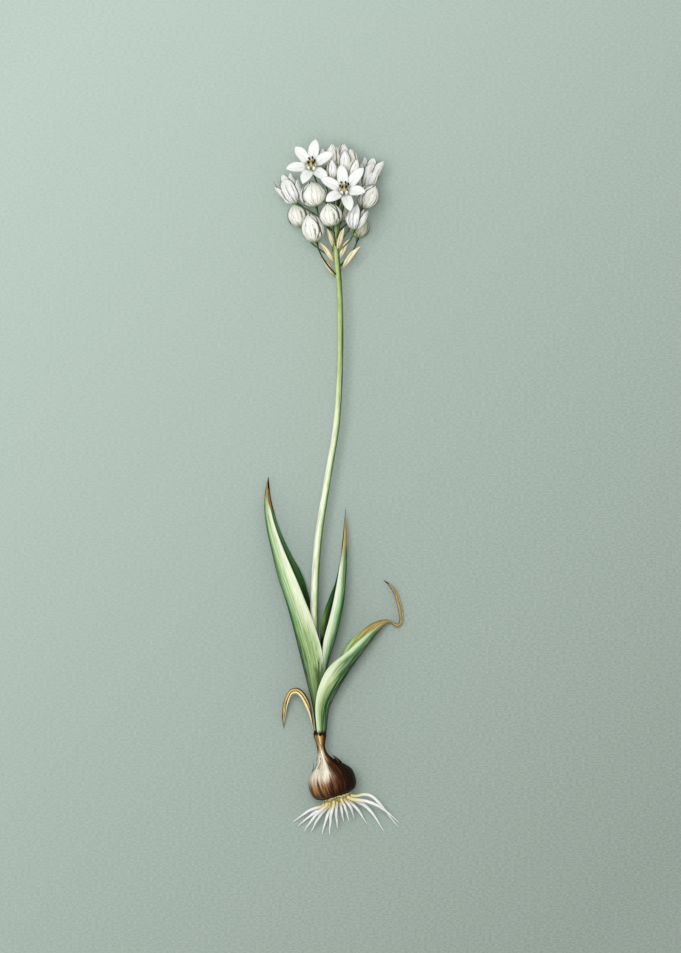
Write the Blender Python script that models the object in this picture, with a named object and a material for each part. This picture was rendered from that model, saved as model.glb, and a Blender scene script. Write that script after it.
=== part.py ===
"""Chincherinchee, one plant lifted whole with its bulb and bare roots and laid down on its side.

The model is built in millimetres in a laying frame: +X to the right of the plant, +Y from the bulb
to the flowers, +Z up from the surface it lies on. The last step moves it so that the origin is at
the middle of the underside of its bounding box, and metres are used from there on.
"""

import math

import bmesh
import bpy
from mathutils import Vector

MM = 0.001
SEAT = 0.3  # gap between two pieces that touch

SPAN_STEPS = 12  # points read on each span of a curve before it is divided evenly

# Sides of each kind of loft
STEM_SIDES = 10
FLOWER_SIDES = 8
CUP_SIDES = 12
BULB_SIDES = 20
ROOT_SIDES = 8

# Colours (linear RGB) and roughness of each kind of piece
FINISHES = {
    "scape": ((0.30, 0.42, 0.12), 0.45),
    "leaf": ((0.16, 0.33, 0.10), 0.5),
    "withered": ((0.62, 0.38, 0.09), 0.7),
    "bulb": ((0.22, 0.10, 0.04), 0.6),
    "plate": ((0.60, 0.46, 0.22), 0.8),
    "root": ((0.86, 0.83, 0.72), 0.7),
    "bract": ((0.80, 0.62, 0.40), 0.7),
    "petal": ((0.90, 0.90, 0.88), 0.5),
    "bud": ((0.80, 0.81, 0.74), 0.5),
    "stamens": ((0.75, 0.62, 0.30), 0.6),
    "pistil": ((0.45, 0.55, 0.22), 0.5),
}

# Scape, the leafless flower stalk: centre line with the radius at each point
SCAPE_ROUTE = [
    (-9.1, 33.6, 12.3, 0.95),
    (-9.5, 45.0, 12.3, 1.15),
    (-10.6, 58.0, 12.3, 1.5),
    (-11.5, 75.0, 12.4, 1.9),
    (-11.8, 102.0, 12.6, 2.05),
    (-9.9, 130.5, 13.2, 1.9),
    (-5.3, 160.0, 14.2, 1.75),
    (-0.6, 189.5, 15.2, 1.65),
    (1.1, 220.0, 16.2, 1.5),
    (1.1, 246.0, 17.0, 1.45),
    (0.2, 263.5, 17.4, 1.4),
    (-0.9, 275.0, 17.5, 1.3),
    (-0.5, 288.0, 17.5, 1.1),
    (0.0, 303.0, 17.5, 0.75),
]
SCAPE_RINGS = 30

# Bulb: its axis, and its radius at each distance along the axis
BULB_AXIS = [(-1.0, 2.5, 12.3), (-5.6, 17.2, 12.3), (-8.1, 24.8, 12.3), (-9.1, 33.0, 12.3)]
BULB_PROFILE = [
    (0.0, 8.6), (0.8, 10.4), (3.2, 11.9), (6.8, 12.3), (10.3, 11.7), (13.4, 9.4),
    (16.0, 6.4), (18.5, 4.1), (21.5, 2.8), (25.0, 2.3), (28.5, 2.6), (31.4, 3.1),
]
BULB_AXIS_POINTS = 60
BULB_BASE_SPAN = 3.0  # length of axis at the base that sets which way the roots grow
BULB_END = 0.12  # depth of the flat ends of the bulb and of the plate
PLATE_PROFILE = [(0.55, 6.8), (0.85, 7.9), (1.7, 6.6)]  # distance below the bulb's base, radius

# Roots: place on the plate (across, depth), a point on the way, the tip, and the thickness at the plate
ROOTS = [
    ((-7.0, 0.9), (-14.0, -5.0, 7.5), (-22.75, -11.2, 0.5), 1.1),
    ((-6.0, -3.0), (-12.5, -6.8, 6.0), (-20.15, -13.1, 0.5), 1.1),
    ((-5.4, 4.2), (-10.8, -7.0, 12.0), (-17.0, -15.5, 4.5), 1.2),
    ((-4.1, 1.2), (-8.9, -7.5, 9.5), (-13.45, -15.75, 2.4), 1.2),
    ((-2.9, -4.2), (-5.6, -8.5, 6.5), (-7.95, -17.15, 0.6), 1.2),
    ((-2.0, 5.6), (-3.6, -8.0, 14.0), (-4.25, -17.15, 8.0), 1.1),
    ((-0.5, 1.4), (-1.0, -6.5, 11.0), (-0.2, -14.3, 5.0), 1.1),
    ((0.9, -3.6), (1.8, -5.0, 7.5), (2.95, -10.95, 2.0), 1.0),
    ((1.9, 4.6), (3.9, -4.5, 13.5), (5.45, -10.25, 9.0), 1.0),
    ((3.3, 0.2), (6.3, -3.6, 10.0), (8.1, -9.25, 4.0), 1.0),
    ((4.3, -4.2), (9.6, -4.4, 6.0), (14.3, -11.65, 0.6), 1.2),
    ((5.6, -1.6), (14.6, -3.6, 7.4), (23.15, -15.75, 0.5), 1.3),
    ((5.2, 3.8), (18.6, -2.0, 12.0), (30.9, -11.4, 1.6), 1.3),
    ((7.0, 1.2), (17.0, 1.8, 9.6), (30.3, -13.6, 0.5), 1.2),
]
ROOT_TOP = 2.3  # distance of the top of the roots below the bulb's base
ROOT_STRAIGHT = 0.9  # how far a root leaves the plate square to it
ROOT_TIP_RADIUS = 0.22
ROOT_RINGS = 9

# Leaves. Each station: keel, front margin, rear margin, keel roundness; the last entry is the tip
LEAF_THICKNESS = 0.5
LEAF_RINGS = 22
RIBBON_RINGS = 6  # more for the curled ribbon at the end of the right leaf
LEAF_SPANS = 3  # spans in each wing of a leaf's section
LEAF_LEFT = [
    ((-10.85, 33.5, 12.3), (-9.3, 33.5, 13.95), (-9.3, 33.5, 10.65), 1.5),
    ((-12.3, 46.0, 12.3), (-9.0, 46.0, 15.0), (-9.0, 46.0, 9.4), 2.4),
    ((-15.1, 58.0, 12.2), (-7.7, 58.2, 17.4), (-8.0, 58.2, 7.6), 3.4),
    ((-18.6, 72.0, 11.6), (-7.8, 73.0, 19.0), (-8.2, 73.0, 6.3), 4.2),
    ((-22.6, 88.0, 10.6), (-12.1, 88.5, 19.4), (-11.0, 88.5, 5.6), 4.2),
    ((-26.1, 100.5, 9.6), (-16.6, 100.5, 18.6), (-14.2, 100.5, 4.9), 4.0),
    ((-29.7, 111.5, 8.2), (-21.0, 111.0, 16.2), (-17.6, 112.0, 3.6), 3.6),
    ((-32.6, 123.5, 6.8), (-26.4, 123.5, 13.0), (-23.6, 123.3, 1.6), 3.0),
    ((-35.3, 135.5, 5.2), (-30.8, 135.0, 9.6), (-29.4, 136.0, 0.8), 2.2),
    ((-36.7, 147.5, 3.4), (-33.9, 147.0, 6.0), (-32.7, 147.0, 0.5), 1.3),
    ((-36.0, 156.0, 1.9), (-34.7, 156.0, 3.2), (-34.2, 155.6, 0.4), 0.7),
    (-34.75, 161.5, 0.5),
]
LEAF_MIDDLE = [
    ((-7.5, 33.5, 12.3), (-9.0, 33.5, 14.0), (-9.0, 33.5, 10.6), 1.5),
    ((-7.4, 46.0, 12.4), (-9.1, 46.0, 14.2), (-9.1, 46.0, 10.5), 1.7),
    ((-6.6, 58.0, 12.5), (-8.6, 58.0, 15.2), (-8.6, 58.0, 10.0), 2.2),
    ((-5.0, 69.0, 12.8), (-8.1, 69.0, 16.6), (-8.3, 69.0, 9.6), 2.4),
    ((-1.8, 79.5, 13.2), (-7.3, 79.5, 18.0), (-8.8, 80.0, 10.0), 2.4),
    ((0.9, 90.5, 13.4), (-4.4, 90.5, 18.6), (-7.9, 90.8, 10.4), 2.6),
    ((2.9, 101.0, 13.0), (-2.0, 100.6, 17.8), (-4.4, 101.3, 10.2), 2.6),
    ((3.8, 111.5, 11.8), (-0.1, 111.0, 15.6), (-1.3, 109.0, 9.6), 2.2),
    ((4.3, 122.0, 10.0), (1.3, 121.6, 12.8), (1.1, 120.0, 8.2), 1.5),
    ((4.4, 132.5, 7.6), (2.6, 132.4, 9.0), (2.4, 131.6, 6.6), 0.8),
    (3.7, 145.5, 4.4),
]
LEAF_RIGHT = [
    ((-6.1, 33.5, 12.3), (-10.4, 33.5, 15.4), (-9.4, 33.5, 9.2), 2.9),
    ((-4.9, 46.0, 12.4), (-11.3, 46.4, 17.2), (-6.6, 46.0, 7.6), 3.2),
    ((-1.3, 54.0, 12.2), (-9.6, 56.6, 19.2), (-4.4, 55.0, 6.4), 4.2),
    ((4.2, 62.6, 11.4), (-4.6, 66.4, 20.2), (-1.4, 66.0, 5.0), 4.6),
    ((11.4, 73.0, 9.8), (4.6, 74.4, 18.0), (3.6, 76.6, 3.6), 4.4),
    ((17.4, 81.0, 7.4), (12.4, 81.4, 13.4), (9.8, 82.8, 2.4), 3.2),
    ((22.4, 86.8, 4.6), (18.6, 86.6, 8.2), (15.8, 87.4, 1.0), 2.0),
    ((25.8, 88.9, 2.9), (23.6, 90.0, 4.6), (22.6, 90.4, 0.7), 1.1),
    ((29.6, 86.4, 2.2), (30.0, 88.0, 3.3), (29.4, 87.7, 0.5), 0.7),
    ((32.2, 89.4, 2.1), (30.6, 90.8, 3.0), (30.6, 90.4, 0.5), 0.6),
    ((31.2, 98.2, 2.0), (29.4, 98.2, 2.9), (29.5, 98.0, 0.5), 0.6),
    ((28.4, 105.8, 1.8), (27.0, 104.9, 2.5), (27.2, 104.7, 0.5), 0.5),
    (22.9, 109.8, 0.7),
]
LEAF_WITHERED = [
    ((-12.0, 33.6, 12.3), (-11.8, 33.6, 13.6), (-11.8, 33.6, 11.0), 0.9),
    ((-14.2, 42.3, 12.6), (-12.9, 43.6, 14.4), (-13.1, 43.2, 11.2), 0.9),
    ((-17.3, 49.0, 12.6), (-15.0, 51.0, 14.2), (-15.3, 50.6, 11.2), 1.0),
    ((-20.0, 52.8, 11.4), (-19.0, 55.7, 12.6), (-19.2, 55.2, 9.8), 1.0),
    ((-22.9, 52.6, 9.2), (-23.7, 55.4, 10.2), (-23.5, 55.0, 7.8), 1.0),
    ((-24.9, 48.0, 6.4), (-27.1, 49.2, 7.2), (-27.0, 49.0, 5.2), 0.8),
    ((-26.2, 42.0, 3.6), (-28.0, 42.4, 4.3), (-27.9, 42.2, 2.7), 0.6),
    (-27.2, 35.7, 0.8),
]
WITHERED_THICKNESS = 0.4
WITHERED_RINGS = 16

SMALL_SPANS = 2  # spans in each wing of a bract's or a petal's section

# Bracts: height on the scape, tip, width
BRACT_THICKNESS = 0.35
BRACT_RINGS = 8
BRACT_STATIONS = [(0.0, 0.7, 0.0), (0.25, 1.0, 0.6), (0.6, 0.85, 1.0)]  # place, share of the width, turn
BRACT_CUP = 0.25
BRACT_BEND = (0.45, 0.65)  # where the bract bends upwards, across and along, from its base to its tip
BRACTS = [
    (260.6, (-9.0, 271.4, 17.0), 2.0),
    (267.2, (-9.8, 279.3, 22.0), 2.2),
    (275.0, (-5.6, 286.0, 22.4), 2.0),
    (275.6, (3.2, 286.2, 23.4), 2.2),
    (270.6, (6.2, 280.8, 19.6), 2.2),
    (264.6, (11.7, 277.2, 15.6), 2.4),
]

# Buds: height of the pedicel on the scape, base, tip, diameter
BUDS = {
    "bud_lower_left": (262.6, (-10.8, 278.6, 26.6), (-14.6, 293.2, 27.2), 10.6),
    "bud_outer_left": (270.2, (-18.2, 286.4, 14.4), (-21.6, 298.4, 12.8), 9.0),
    "bud_broad": (283.6, (-11.0, 296.4, 29.0), (-13.6, 309.2, 30.2), 12.6),
    "bud_lower_middle": (277.4, (-2.7, 286.6, 30.6), (-5.0, 298.4, 31.6), 10.8),
    "bud_back_middle": (279.6, (1.0, 289.0, 5.4), (2.6, 301.4, 4.6), 9.6),
    "bud_right": (279.6, (12.0, 296.0, 21.4), (18.6, 307.4, 21.8), 10.4),
    "bud_back_right": (266.6, (9.8, 281.0, 5.6), (11.8, 292.0, 4.6), 9.6),
    "bud_top_front": (290.2, (-2.7, 309.6, 30.6), (-3.2, 320.4, 31.8), 5.0),
    "bud_top_left": (294.2, (-2.6, 315.6, 23.4), (-2.8, 328.2, 23.8), 6.6),
    "bud_top_middle": (292.6, (3.5, 313.4, 25.0), (3.4, 325.0, 25.8), 6.4),
    "bud_top_back": (297.4, (2.2, 316.6, 11.4), (2.7, 328.4, 10.6), 6.6),
    "bud_top_right": (295.6, (6.9, 314.6, 17.4), (6.4, 325.8, 17.6), 6.0),
    "bud_side_right": (287.0, (6.4, 311.2, 31.4), (9.6, 320.4, 33.2), 5.2),
    "bud_side_left": (296.6, (-7.0, 315.6, 14.4), (-7.8, 326.0, 14.0), 5.4),
}
PEDICEL_RADIUS = 0.55
PEDICEL_POINTS = 7
# How far a flower's stalk runs square out of the scape, up along it, and straight into the flower,
# each as a share of the distance that the stalk spans
PEDICEL_OUT, PEDICEL_UP, PEDICEL_STRAIGHT = 0.18, 0.16, 0.42
BUD_PROFILE = [(0.07, 0.52), (0.2, 0.84), (0.4, 1.0), (0.6, 0.95), (0.78, 0.7), (0.92, 0.34)]

# Half-open flowers: height of the pedicel on the scape, base, tip, diameter at the mouth
CUPS = {
    "flower_opening_left": (274.0, (-20.8, 298.0, 20.0), (-26.8, 310.0, 20.0), 12.4),
    "flower_opening_right": (285.0, (13.6, 304.4, 13.6), (17.0, 320.4, 13.8), 12.0),
    "flower_opening_low": (274.2, (8.0, 284.8, 29.0), (10.2, 298.0, 30.6), 11.4),
}
# Walls of the cup: distance along the axis, radius, how much of the lobe height the notches lose
CUP_OUTER = [(0.07, 0.42, 0.0), (0.24, 0.78, 0.0), (0.44, 0.97, 0.0), (0.68, 1.0, 0.14), (1.0, 0.92, 0.42)]
CUP_INNER = [(0.67, 0.88, 0.14), (0.45, 0.82, 0.0), (0.3, 0.5, 0.0)]
CUP_FLOOR = 0.25  # place of the deepest point inside, along the axis

# Open flowers: height of the pedicel on the scape, centre, facing, and each petal's heading and reach
OPEN_FLOWERS = {
    "flower_left": (
        291.0, (-13.2, 316.2, 32.8), (-0.10, 0.42, 0.90),
        [(27, 12.6), (80, 13.2), (132, 12.4), (188, 12.7), (247, 10.6), (318, 11.0)],
    ),
    "flower_right": (
        281.2, (3.1, 304.0, 40.4), (0.0, 0.42, 0.91),
        [(-9, 10.8), (48, 14.6), (98, 12.2), (155, 13.2), (215, 11.2), (286, 11.4)],
    ),
}
PETAL_THICKNESS = 0.4
PETAL_RINGS = 8
PETAL_BASE = 1.6  # distance of the petal's base from the flower's axis
PETAL_BASE_HEIGHT = 0.15
PETAL_RISE = 2.2  # how far a petal rises, along part of a wave that is sharpened by the power
PETAL_CURVE = 0.62 * math.pi
PETAL_POWER = 1.5
PETAL_TIP_RISE = 0.85  # the tip's share of the rise: it turns out again
PETAL_CUP = 0.22  # how far the margins stand up, as a share of the half width
PETAL_HALF_WIDTHS = [(0.0, 0.6), (0.12, 1.15), (0.3, 2.15), (0.52, 2.75), (0.74, 2.25), (0.91, 1.05)]
WHORL_STEP = 0.75  # the inner three petals lie this much above the outer three
PISTIL_PROFILE = [  # height over the flower's centre, radius: receptacle, ovary, style and stigma
    (-1.7, 0.6), (-1.1, 1.3), (-0.6, 2.0), (-0.4, 2.0), (-0.25, 1.0), (0.4, 0.95),
    (1.6, 1.25), (2.9, 0.95), (3.6, 0.35), (4.6, 0.3), (4.9, 0.42),
]
STAMEN_COUNT = 6
STAMEN_TURN = 0.25  # where the first stamen stands, as a share of the angle between two
FILAMENT_SIDES = 6
STAMEN_CUP = [(2.0, 1.6), (2.05, 2.7), (1.65, 2.7), (1.6, 1.6)]  # radius, height round the cup's section
FILAMENT = [  # distance from the flower's axis, height, radius: a thread with its anther
    (1.83, 2.2, 0.34), (1.9, 3.2, 0.3), (2.0, 4.3, 0.24), (2.1, 4.7, 0.5), (2.1, 5.4, 0.6), (2.05, 6.1, 0.34),
]


def finish(obj, kind):
    """Gives the object a material of its own in the colour of its kind."""
    colour, roughness = FINISHES[kind]
    material = bpy.data.materials.new(obj.name)
    material.use_nodes = True
    shader = material.node_tree.nodes["Principled BSDF"]
    shader.inputs["Base Color"].default_value = (*colour, 1.0)
    shader.inputs["Roughness"].default_value = roughness
    shader.inputs["Metallic"].default_value = 0.0
    obj.data.materials.append(material)


def catmull(points, t):
    """The point at t (0 to the number of spans) on a smooth curve through tuples of any length."""
    spans = len(points) - 1
    i = min(int(t), spans - 1)
    u = t - i
    first, last = points[i], points[i + 1]
    before = points[i - 1] if i else tuple(2 * a - b for a, b in zip(first, last))
    after = points[i + 2] if i + 2 <= spans else tuple(2 * b - a for a, b in zip(first, last))
    return tuple(
        0.5 * (2 * b + (c - a) * u + (2 * a - 5 * b + 4 * c - d) * u * u + (3 * b - a - 3 * c + d) * u**3)
        for a, b, c, d in zip(before, first, last, after)
    )


def resample(points, count):
    """The curve through the points as `count` tuples, evenly spaced along its first three numbers."""
    steps = SPAN_STEPS * (len(points) - 1)
    dense = [catmull(points, i / SPAN_STEPS) for i in range(steps + 1)]
    travelled = [0.0]
    for a, b in zip(dense, dense[1:]):
        travelled.append(travelled[-1] + math.dist(a[:3], b[:3]))
    result, j = [], 0
    for i in range(count):
        wanted = travelled[-1] * i / (count - 1)
        while j < steps - 1 and travelled[j + 1] < wanted:
            j += 1
        u = (wanted - travelled[j]) / max(travelled[j + 1] - travelled[j], 1e-9)
        result.append(tuple(a + (b - a) * u for a, b in zip(dense[j], dense[j + 1])))
    return result


def bezier(a, b, c, d, count):
    """`count` points along a cubic curve."""
    made = []
    for i in range(count):
        t = i / (count - 1)
        s = 1 - t
        made.append(a * s**3 + b * 3 * s * s * t + c * 3 * s * t * t + d * t**3)
    return made


def transported(path):
    """A side vector for each point of the path, turned as little as possible from one to the next."""
    tangents = []
    for i in range(len(path)):
        tangents.append((path[min(i + 1, len(path) - 1)] - path[max(i - 1, 0)]).normalized())
    side = Vector((0, 0, 1)).cross(tangents[0])
    if side.length < 0.1:
        side = Vector((1, 0, 0))
    sides = []
    for tangent in tangents:
        side = (side - tangent * side.dot(tangent)).normalized()
        sides.append(side)
    return tangents, sides


def circle_rings(path, radii, sides):
    """Rings of `sides` points round each point of the path."""
    tangents, across = transported(path)
    rings = []
    for point, radius, tangent, side in zip(path, radii, tangents, across):
        other = tangent.cross(side)
        turns = [2 * math.pi * k / sides for k in range(sides)]
        rings.append([point + (side * math.cos(a) + other * math.sin(a)) * radius for a in turns])
    return rings


def loft(name, kind, rings, tip=None, dome=0.3, thin=False):
    """One closed solid through the rings, with a point at `tip` or a shallow dome over the last ring.

    The first ring is closed by a dome too or, on a thin blade, by a strip from margin to margin.
    """
    mesh = bmesh.new()
    middles = [sum(ring, Vector()) / len(ring) for ring in rings]
    if tip is None:
        reach = min((p - middles[-1]).length for p in rings[-1])
        tip = middles[-1] + (middles[-1] - middles[-2]).normalized() * min(dome, reach * 0.6)
    loops = [[mesh.verts.new(p * MM) for p in ring] for ring in rings]
    last = mesh.verts.new(Vector(tip) * MM)
    count = len(rings[0])
    for k in range(count):
        n = (k + 1) % count
        mesh.faces.new((last, loops[-1][k], loops[-1][n]))
        for low, high in zip(loops, loops[1:]):
            mesh.faces.new((low[k], low[n], high[n]))
            mesh.faces.new((low[k], high[n], high[k]))
    if thin:
        base = loops[0]
        for k in range(1, count // 2 + 1):
            if k > 1:
                mesh.faces.new((base[k], base[k - 1], base[1 - k]))
            if k < count // 2:
                mesh.faces.new((base[k], base[1 - k], base[-k]))
    else:
        reach = min((p - middles[0]).length for p in rings[0])
        start = middles[0] - (middles[1] - middles[0]).normalized() * min(dome, reach * 0.4)
        first = mesh.verts.new(start * MM)
        for k in range(count):
            mesh.faces.new((first, loops[0][(k + 1) % count], loops[0][k]))
    if mesh.calc_volume(signed=True) < 0:
        bmesh.ops.reverse_faces(mesh, faces=mesh.faces)
    data = bpy.data.meshes.new(name)
    mesh.to_mesh(data)
    mesh.free()
    data.shade_smooth()
    obj = bpy.data.objects.new(name, data)
    bpy.context.scene.collection.objects.link(obj)
    if kind:
        finish(obj, kind)
    return obj


def section(keel, front, rear, roundness, spans):
    """Points on the middle surface of a blade, from the front margin round the keel to the rear margin."""
    spread = (front - rear).normalized() * roundness
    wings = []
    for margin, bend in ((front, keel + spread), (rear, keel - spread)):
        wing = []
        for i in range(spans + 1):
            u = i / spans
            wing.append(keel * (1 - u) ** 2 + bend * 2 * u * (1 - u) + margin * u * u)
        wings.append(wing)
    return wings[0][::-1] + wings[1][1:]


def blade(name, kind, stations, tip, rings, thickness, spans):
    """A thin closed blade: `stations` are (keel, front, rear, roundness), and `spans` divide each wing."""
    flat = [(*keel, *front, *rear, roundness) for keel, front, rear, roundness in stations]
    tip = Vector(tip)
    flat.append((*tip, *tip, *tip, 0.0))
    rows = []
    for numbers in resample(flat, rings + 1)[:-1]:
        keel, front, rear = (Vector(numbers[i : i + 3]) for i in (0, 3, 6))
        rows.append(section(keel, front, rear, numbers[9], spans))
    loops = []
    for i, row in enumerate(rows):
        after = rows[i + 1] if i + 1 < len(rows) else [tip] * len(row)
        before = rows[i - 1] if i else row
        upper, lower = [], []
        for j in range(1, len(row) - 1):
            along = after[j] - before[j]
            across = row[j + 1] - row[j - 1]
            lift = along.cross(across).normalized() * thickness / 2
            upper.append(row[j] + lift)
            lower.append(row[j] - lift)
        loops.append([row[0], *upper, row[-1], *lower[::-1]])
    return loft(name, kind, loops, tip, thin=True)


def scape_at(height):
    """The centre and radius of the scape at a height along it."""
    low, high = next((a, b) for a, b in zip(SCAPE_ROUTE, SCAPE_ROUTE[1:]) if height <= b[1])
    i = SCAPE_ROUTE.index(low)
    point = catmull(SCAPE_ROUTE, i + (height - low[1]) / (high[1] - low[1]))
    return Vector(point[:3]), point[3]


def outward_from(height, target):
    """The direction square to the scape from its centre at a height towards a point."""
    middle, _ = scape_at(height)
    way = target - middle
    way.y = 0
    return way.normalized()


def pedicel(height, base, heading):
    """Points of a flower's stalk, from the side of the scape to the base of the flower."""
    middle, radius = scape_at(height)
    out = outward_from(height, base)
    start = middle + out * (radius + 2 * SEAT)
    span = (base - start).length
    leaving = start + out * PEDICEL_OUT * span + Vector((0, PEDICEL_UP * span, 0))
    entering = base - heading * PEDICEL_STRAIGHT * span
    return bezier(start, leaving, entering, base, PEDICEL_POINTS)


def make_scape():
    route = resample(SCAPE_ROUTE, SCAPE_RINGS)
    rings = circle_rings([Vector(p[:3]) for p in route], [p[3] for p in route], STEM_SIDES)
    loft("scape", "scape", rings)


def bulb_axis_at(distance):
    """The point on the bulb's axis at a distance from its base."""
    dense = [Vector(p) for p in resample(BULB_AXIS, BULB_AXIS_POINTS)]
    travelled = 0.0
    for a, b in zip(dense, dense[1:]):
        step = (b - a).length
        if travelled + step >= distance:
            return a + (b - a) * ((distance - travelled) / step)
        travelled += step
    return dense[-1]


def bulb_base():
    """The bulb's base, and the direction straight down from it, away from the leaves."""
    base = Vector(BULB_AXIS[0])
    return base, (base - bulb_axis_at(BULB_BASE_SPAN)).normalized()


def make_bulb():
    """The bulb in its brown tunic, and the basal plate under it."""
    path = [bulb_axis_at(distance) for distance, _ in BULB_PROFILE]
    rings = circle_rings(path, [radius for _, radius in BULB_PROFILE], BULB_SIDES)
    loft("bulb", "bulb", rings, dome=BULB_END)
    base, down = bulb_base()
    path = [base + down * depth for depth, _ in PLATE_PROFILE]
    rings = circle_rings(path, [radius for _, radius in PLATE_PROFILE], CUP_SIDES)
    loft("basal_plate", "plate", rings, dome=BULB_END)


def make_roots():
    base, down = bulb_base()
    across = Vector((0, 0, 1)).cross(down)
    floor = base + down * ROOT_TOP
    for number, ((offset, depth), way, tip, thickness) in enumerate(ROOTS, 1):
        start = floor + across * offset + Vector((0, 0, depth))
        settle = start + down * ROOT_STRAIGHT
        route = resample([tuple(start), tuple(settle), way, tip], ROOT_RINGS)
        radii = []
        for i in range(ROOT_RINGS):
            t = i / (ROOT_RINGS - 1)
            radii.append(thickness / 2 * (1 - t) + ROOT_TIP_RADIUS * t)
        loft(f"root_{number:02d}", "root", circle_rings([Vector(p) for p in route], radii, ROOT_SIDES))


def make_leaves():
    for name, kind, leaf, rings, thickness in (
        ("leaf_left", "leaf", LEAF_LEFT, LEAF_RINGS, LEAF_THICKNESS),
        ("leaf_middle", "leaf", LEAF_MIDDLE, LEAF_RINGS, LEAF_THICKNESS),
        ("leaf_right", "leaf", LEAF_RIGHT, LEAF_RINGS + RIBBON_RINGS, LEAF_THICKNESS),
        ("leaf_withered", "withered", LEAF_WITHERED, WITHERED_RINGS, WITHERED_THICKNESS),
    ):
        blade(name, kind, leaf[:-1], leaf[-1], rings, thickness, LEAF_SPANS)


def make_bracts():
    """The papery bracts: each clasps the scape at its base and turns its face upwards further out."""
    for number, (height, tip, width) in enumerate(BRACTS, 1):
        tip = Vector(tip)
        middle, radius = scape_at(height)
        out = outward_from(height, tip)
        base = middle + out * (radius + SEAT + BRACT_THICKNESS)
        clasp = out.cross(Vector((0, 1, 0)))
        level = (tip - base).cross(Vector((0, 0, 1))).normalized() * math.copysign(1, -out.x)
        level_bend, high_bend = (base.lerp(tip, share) for share in BRACT_BEND)
        bend = Vector((level_bend.x, high_bend.y, (base.z + tip.z) / 2))
        stations = []
        for t, share, turn in BRACT_STATIONS:
            keel = base * (1 - t) ** 2 + bend * 2 * t * (1 - t) + tip * t * t
            half = clasp.lerp(level, turn).normalized() * width / 2 * share
            cup = out * -BRACT_CUP * share
            stations.append((keel, keel + half + cup, keel - half + cup, width / 4 * share))
        blade(f"bract_{number}", "bract", stations, tip, BRACT_RINGS, BRACT_THICKNESS, SMALL_SPANS)


def make_buds():
    for name, (height, base, tip, diameter) in BUDS.items():
        base, tip = Vector(base), Vector(tip)
        heading = (tip - base).normalized()
        stalk = pedicel(height, base, heading)
        radii = [PEDICEL_RADIUS] * len(stalk)
        for along, share in BUD_PROFILE:
            stalk.append(base.lerp(tip, along))
            radii.append(diameter / 2 * share)
        loft(name, "bud", circle_rings(stalk, radii, FLOWER_SIDES), tip)


def make_cups():
    """The half-open flowers: a stalk and a cup with six pointed lobes, open at the mouth."""
    for name, (height, base, tip, diameter) in CUPS.items():
        base, tip = Vector(base), Vector(tip)
        heading = tip - base
        stalk = pedicel(height, base, heading.normalized())
        path = stalk + [base.lerp(tip, along) for along, _, _ in CUP_OUTER]
        radii = [PEDICEL_RADIUS] * len(stalk) + [diameter / 2 * share for _, share, _ in CUP_OUTER]
        rings = circle_rings(path, radii, CUP_SIDES)
        outer = rings[-1]
        middle = base.lerp(tip, CUP_OUTER[-1][0])
        for along, share, _ in CUP_INNER:
            here = base.lerp(tip, along)
            scale = share / CUP_OUTER[-1][1]
            rings.append([here + (p - middle) * scale for p in outer])
        for ring, (_, _, notch) in zip(rings[len(stalk) :], CUP_OUTER + CUP_INNER):
            for k in range(1, CUP_SIDES, 2):
                ring[k] = ring[k] - heading * notch
        loft(name, "bud", rings, base.lerp(tip, CUP_FLOOR))


def make_petal(name, centre, facing, heading, reach, lift):
    """One petal: it leaves the receptacle level, rises a little and turns out again at its tip."""
    angle = math.radians(heading)
    flat = Vector((math.cos(angle), math.sin(angle), 0))
    flat.z = -(facing.x * flat.x + facing.y * flat.y) / facing.z
    length = reach * flat.length
    out = flat.normalized()
    side = facing.cross(out)
    stations = []
    for share, half in PETAL_HALF_WIDTHS:
        distance = PETAL_BASE + (length - PETAL_BASE) * share
        rise = PETAL_BASE_HEIGHT + lift + PETAL_RISE * math.sin(share * PETAL_CURVE) ** PETAL_POWER
        keel = centre + out * distance + facing * rise
        cup = facing * (PETAL_CUP * half)
        stations.append((keel, keel + side * half + cup, keel - side * half + cup, half * 0.5))
    tip = centre + out * length + facing * (PETAL_BASE_HEIGHT + lift + PETAL_RISE * PETAL_TIP_RISE)
    blade(name, "petal", stations, tip, PETAL_RINGS, PETAL_THICKNESS, SMALL_SPANS)


def make_stamens(name, centre, facing, start):
    """The six stamens of a flower: their flat bases join in a small cup round the ovary."""
    side = (start - facing * start.dot(facing)).normalized()
    other = facing.cross(side)

    def place(turn, radius, height):
        return centre + (side * math.cos(turn) + other * math.sin(turn)) * radius + facing * height

    mesh = bmesh.new()
    turns = [2 * math.pi * k / CUP_SIDES for k in range(CUP_SIDES)]
    loops = [[mesh.verts.new(place(a, radius, height) * MM) for radius, height in STAMEN_CUP] for a in turns]
    for k, loop in enumerate(loops):
        following = loops[(k + 1) % CUP_SIDES]
        for i in range(len(STAMEN_CUP)):
            j = (i + 1) % len(STAMEN_CUP)
            mesh.faces.new((loop[i], following[i], following[j], loop[j]))
    if mesh.calc_volume(signed=True) < 0:
        bmesh.ops.reverse_faces(mesh, faces=mesh.faces)
    data = bpy.data.meshes.new(name)
    mesh.to_mesh(data)
    mesh.free()
    cup = bpy.data.objects.new(name, data)
    bpy.context.scene.collection.objects.link(cup)
    finish(cup, "stamens")
    for k in range(STAMEN_COUNT):
        turn = 2 * math.pi * (k + STAMEN_TURN) / STAMEN_COUNT
        path = [place(turn, radius, height) for radius, height, _ in FILAMENT]
        rings = circle_rings(path, [thick for _, _, thick in FILAMENT], FILAMENT_SIDES)
        filament = loft(f"{name}_filament_{k + 1}", None, rings)
        filament.hide_render = True
        filament.display_type = "WIRE"
        union = cup.modifiers.new(f"filament_{k + 1}", "BOOLEAN")
        union.operation = "UNION"
        union.solver = "EXACT"
        union.object = filament


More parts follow.
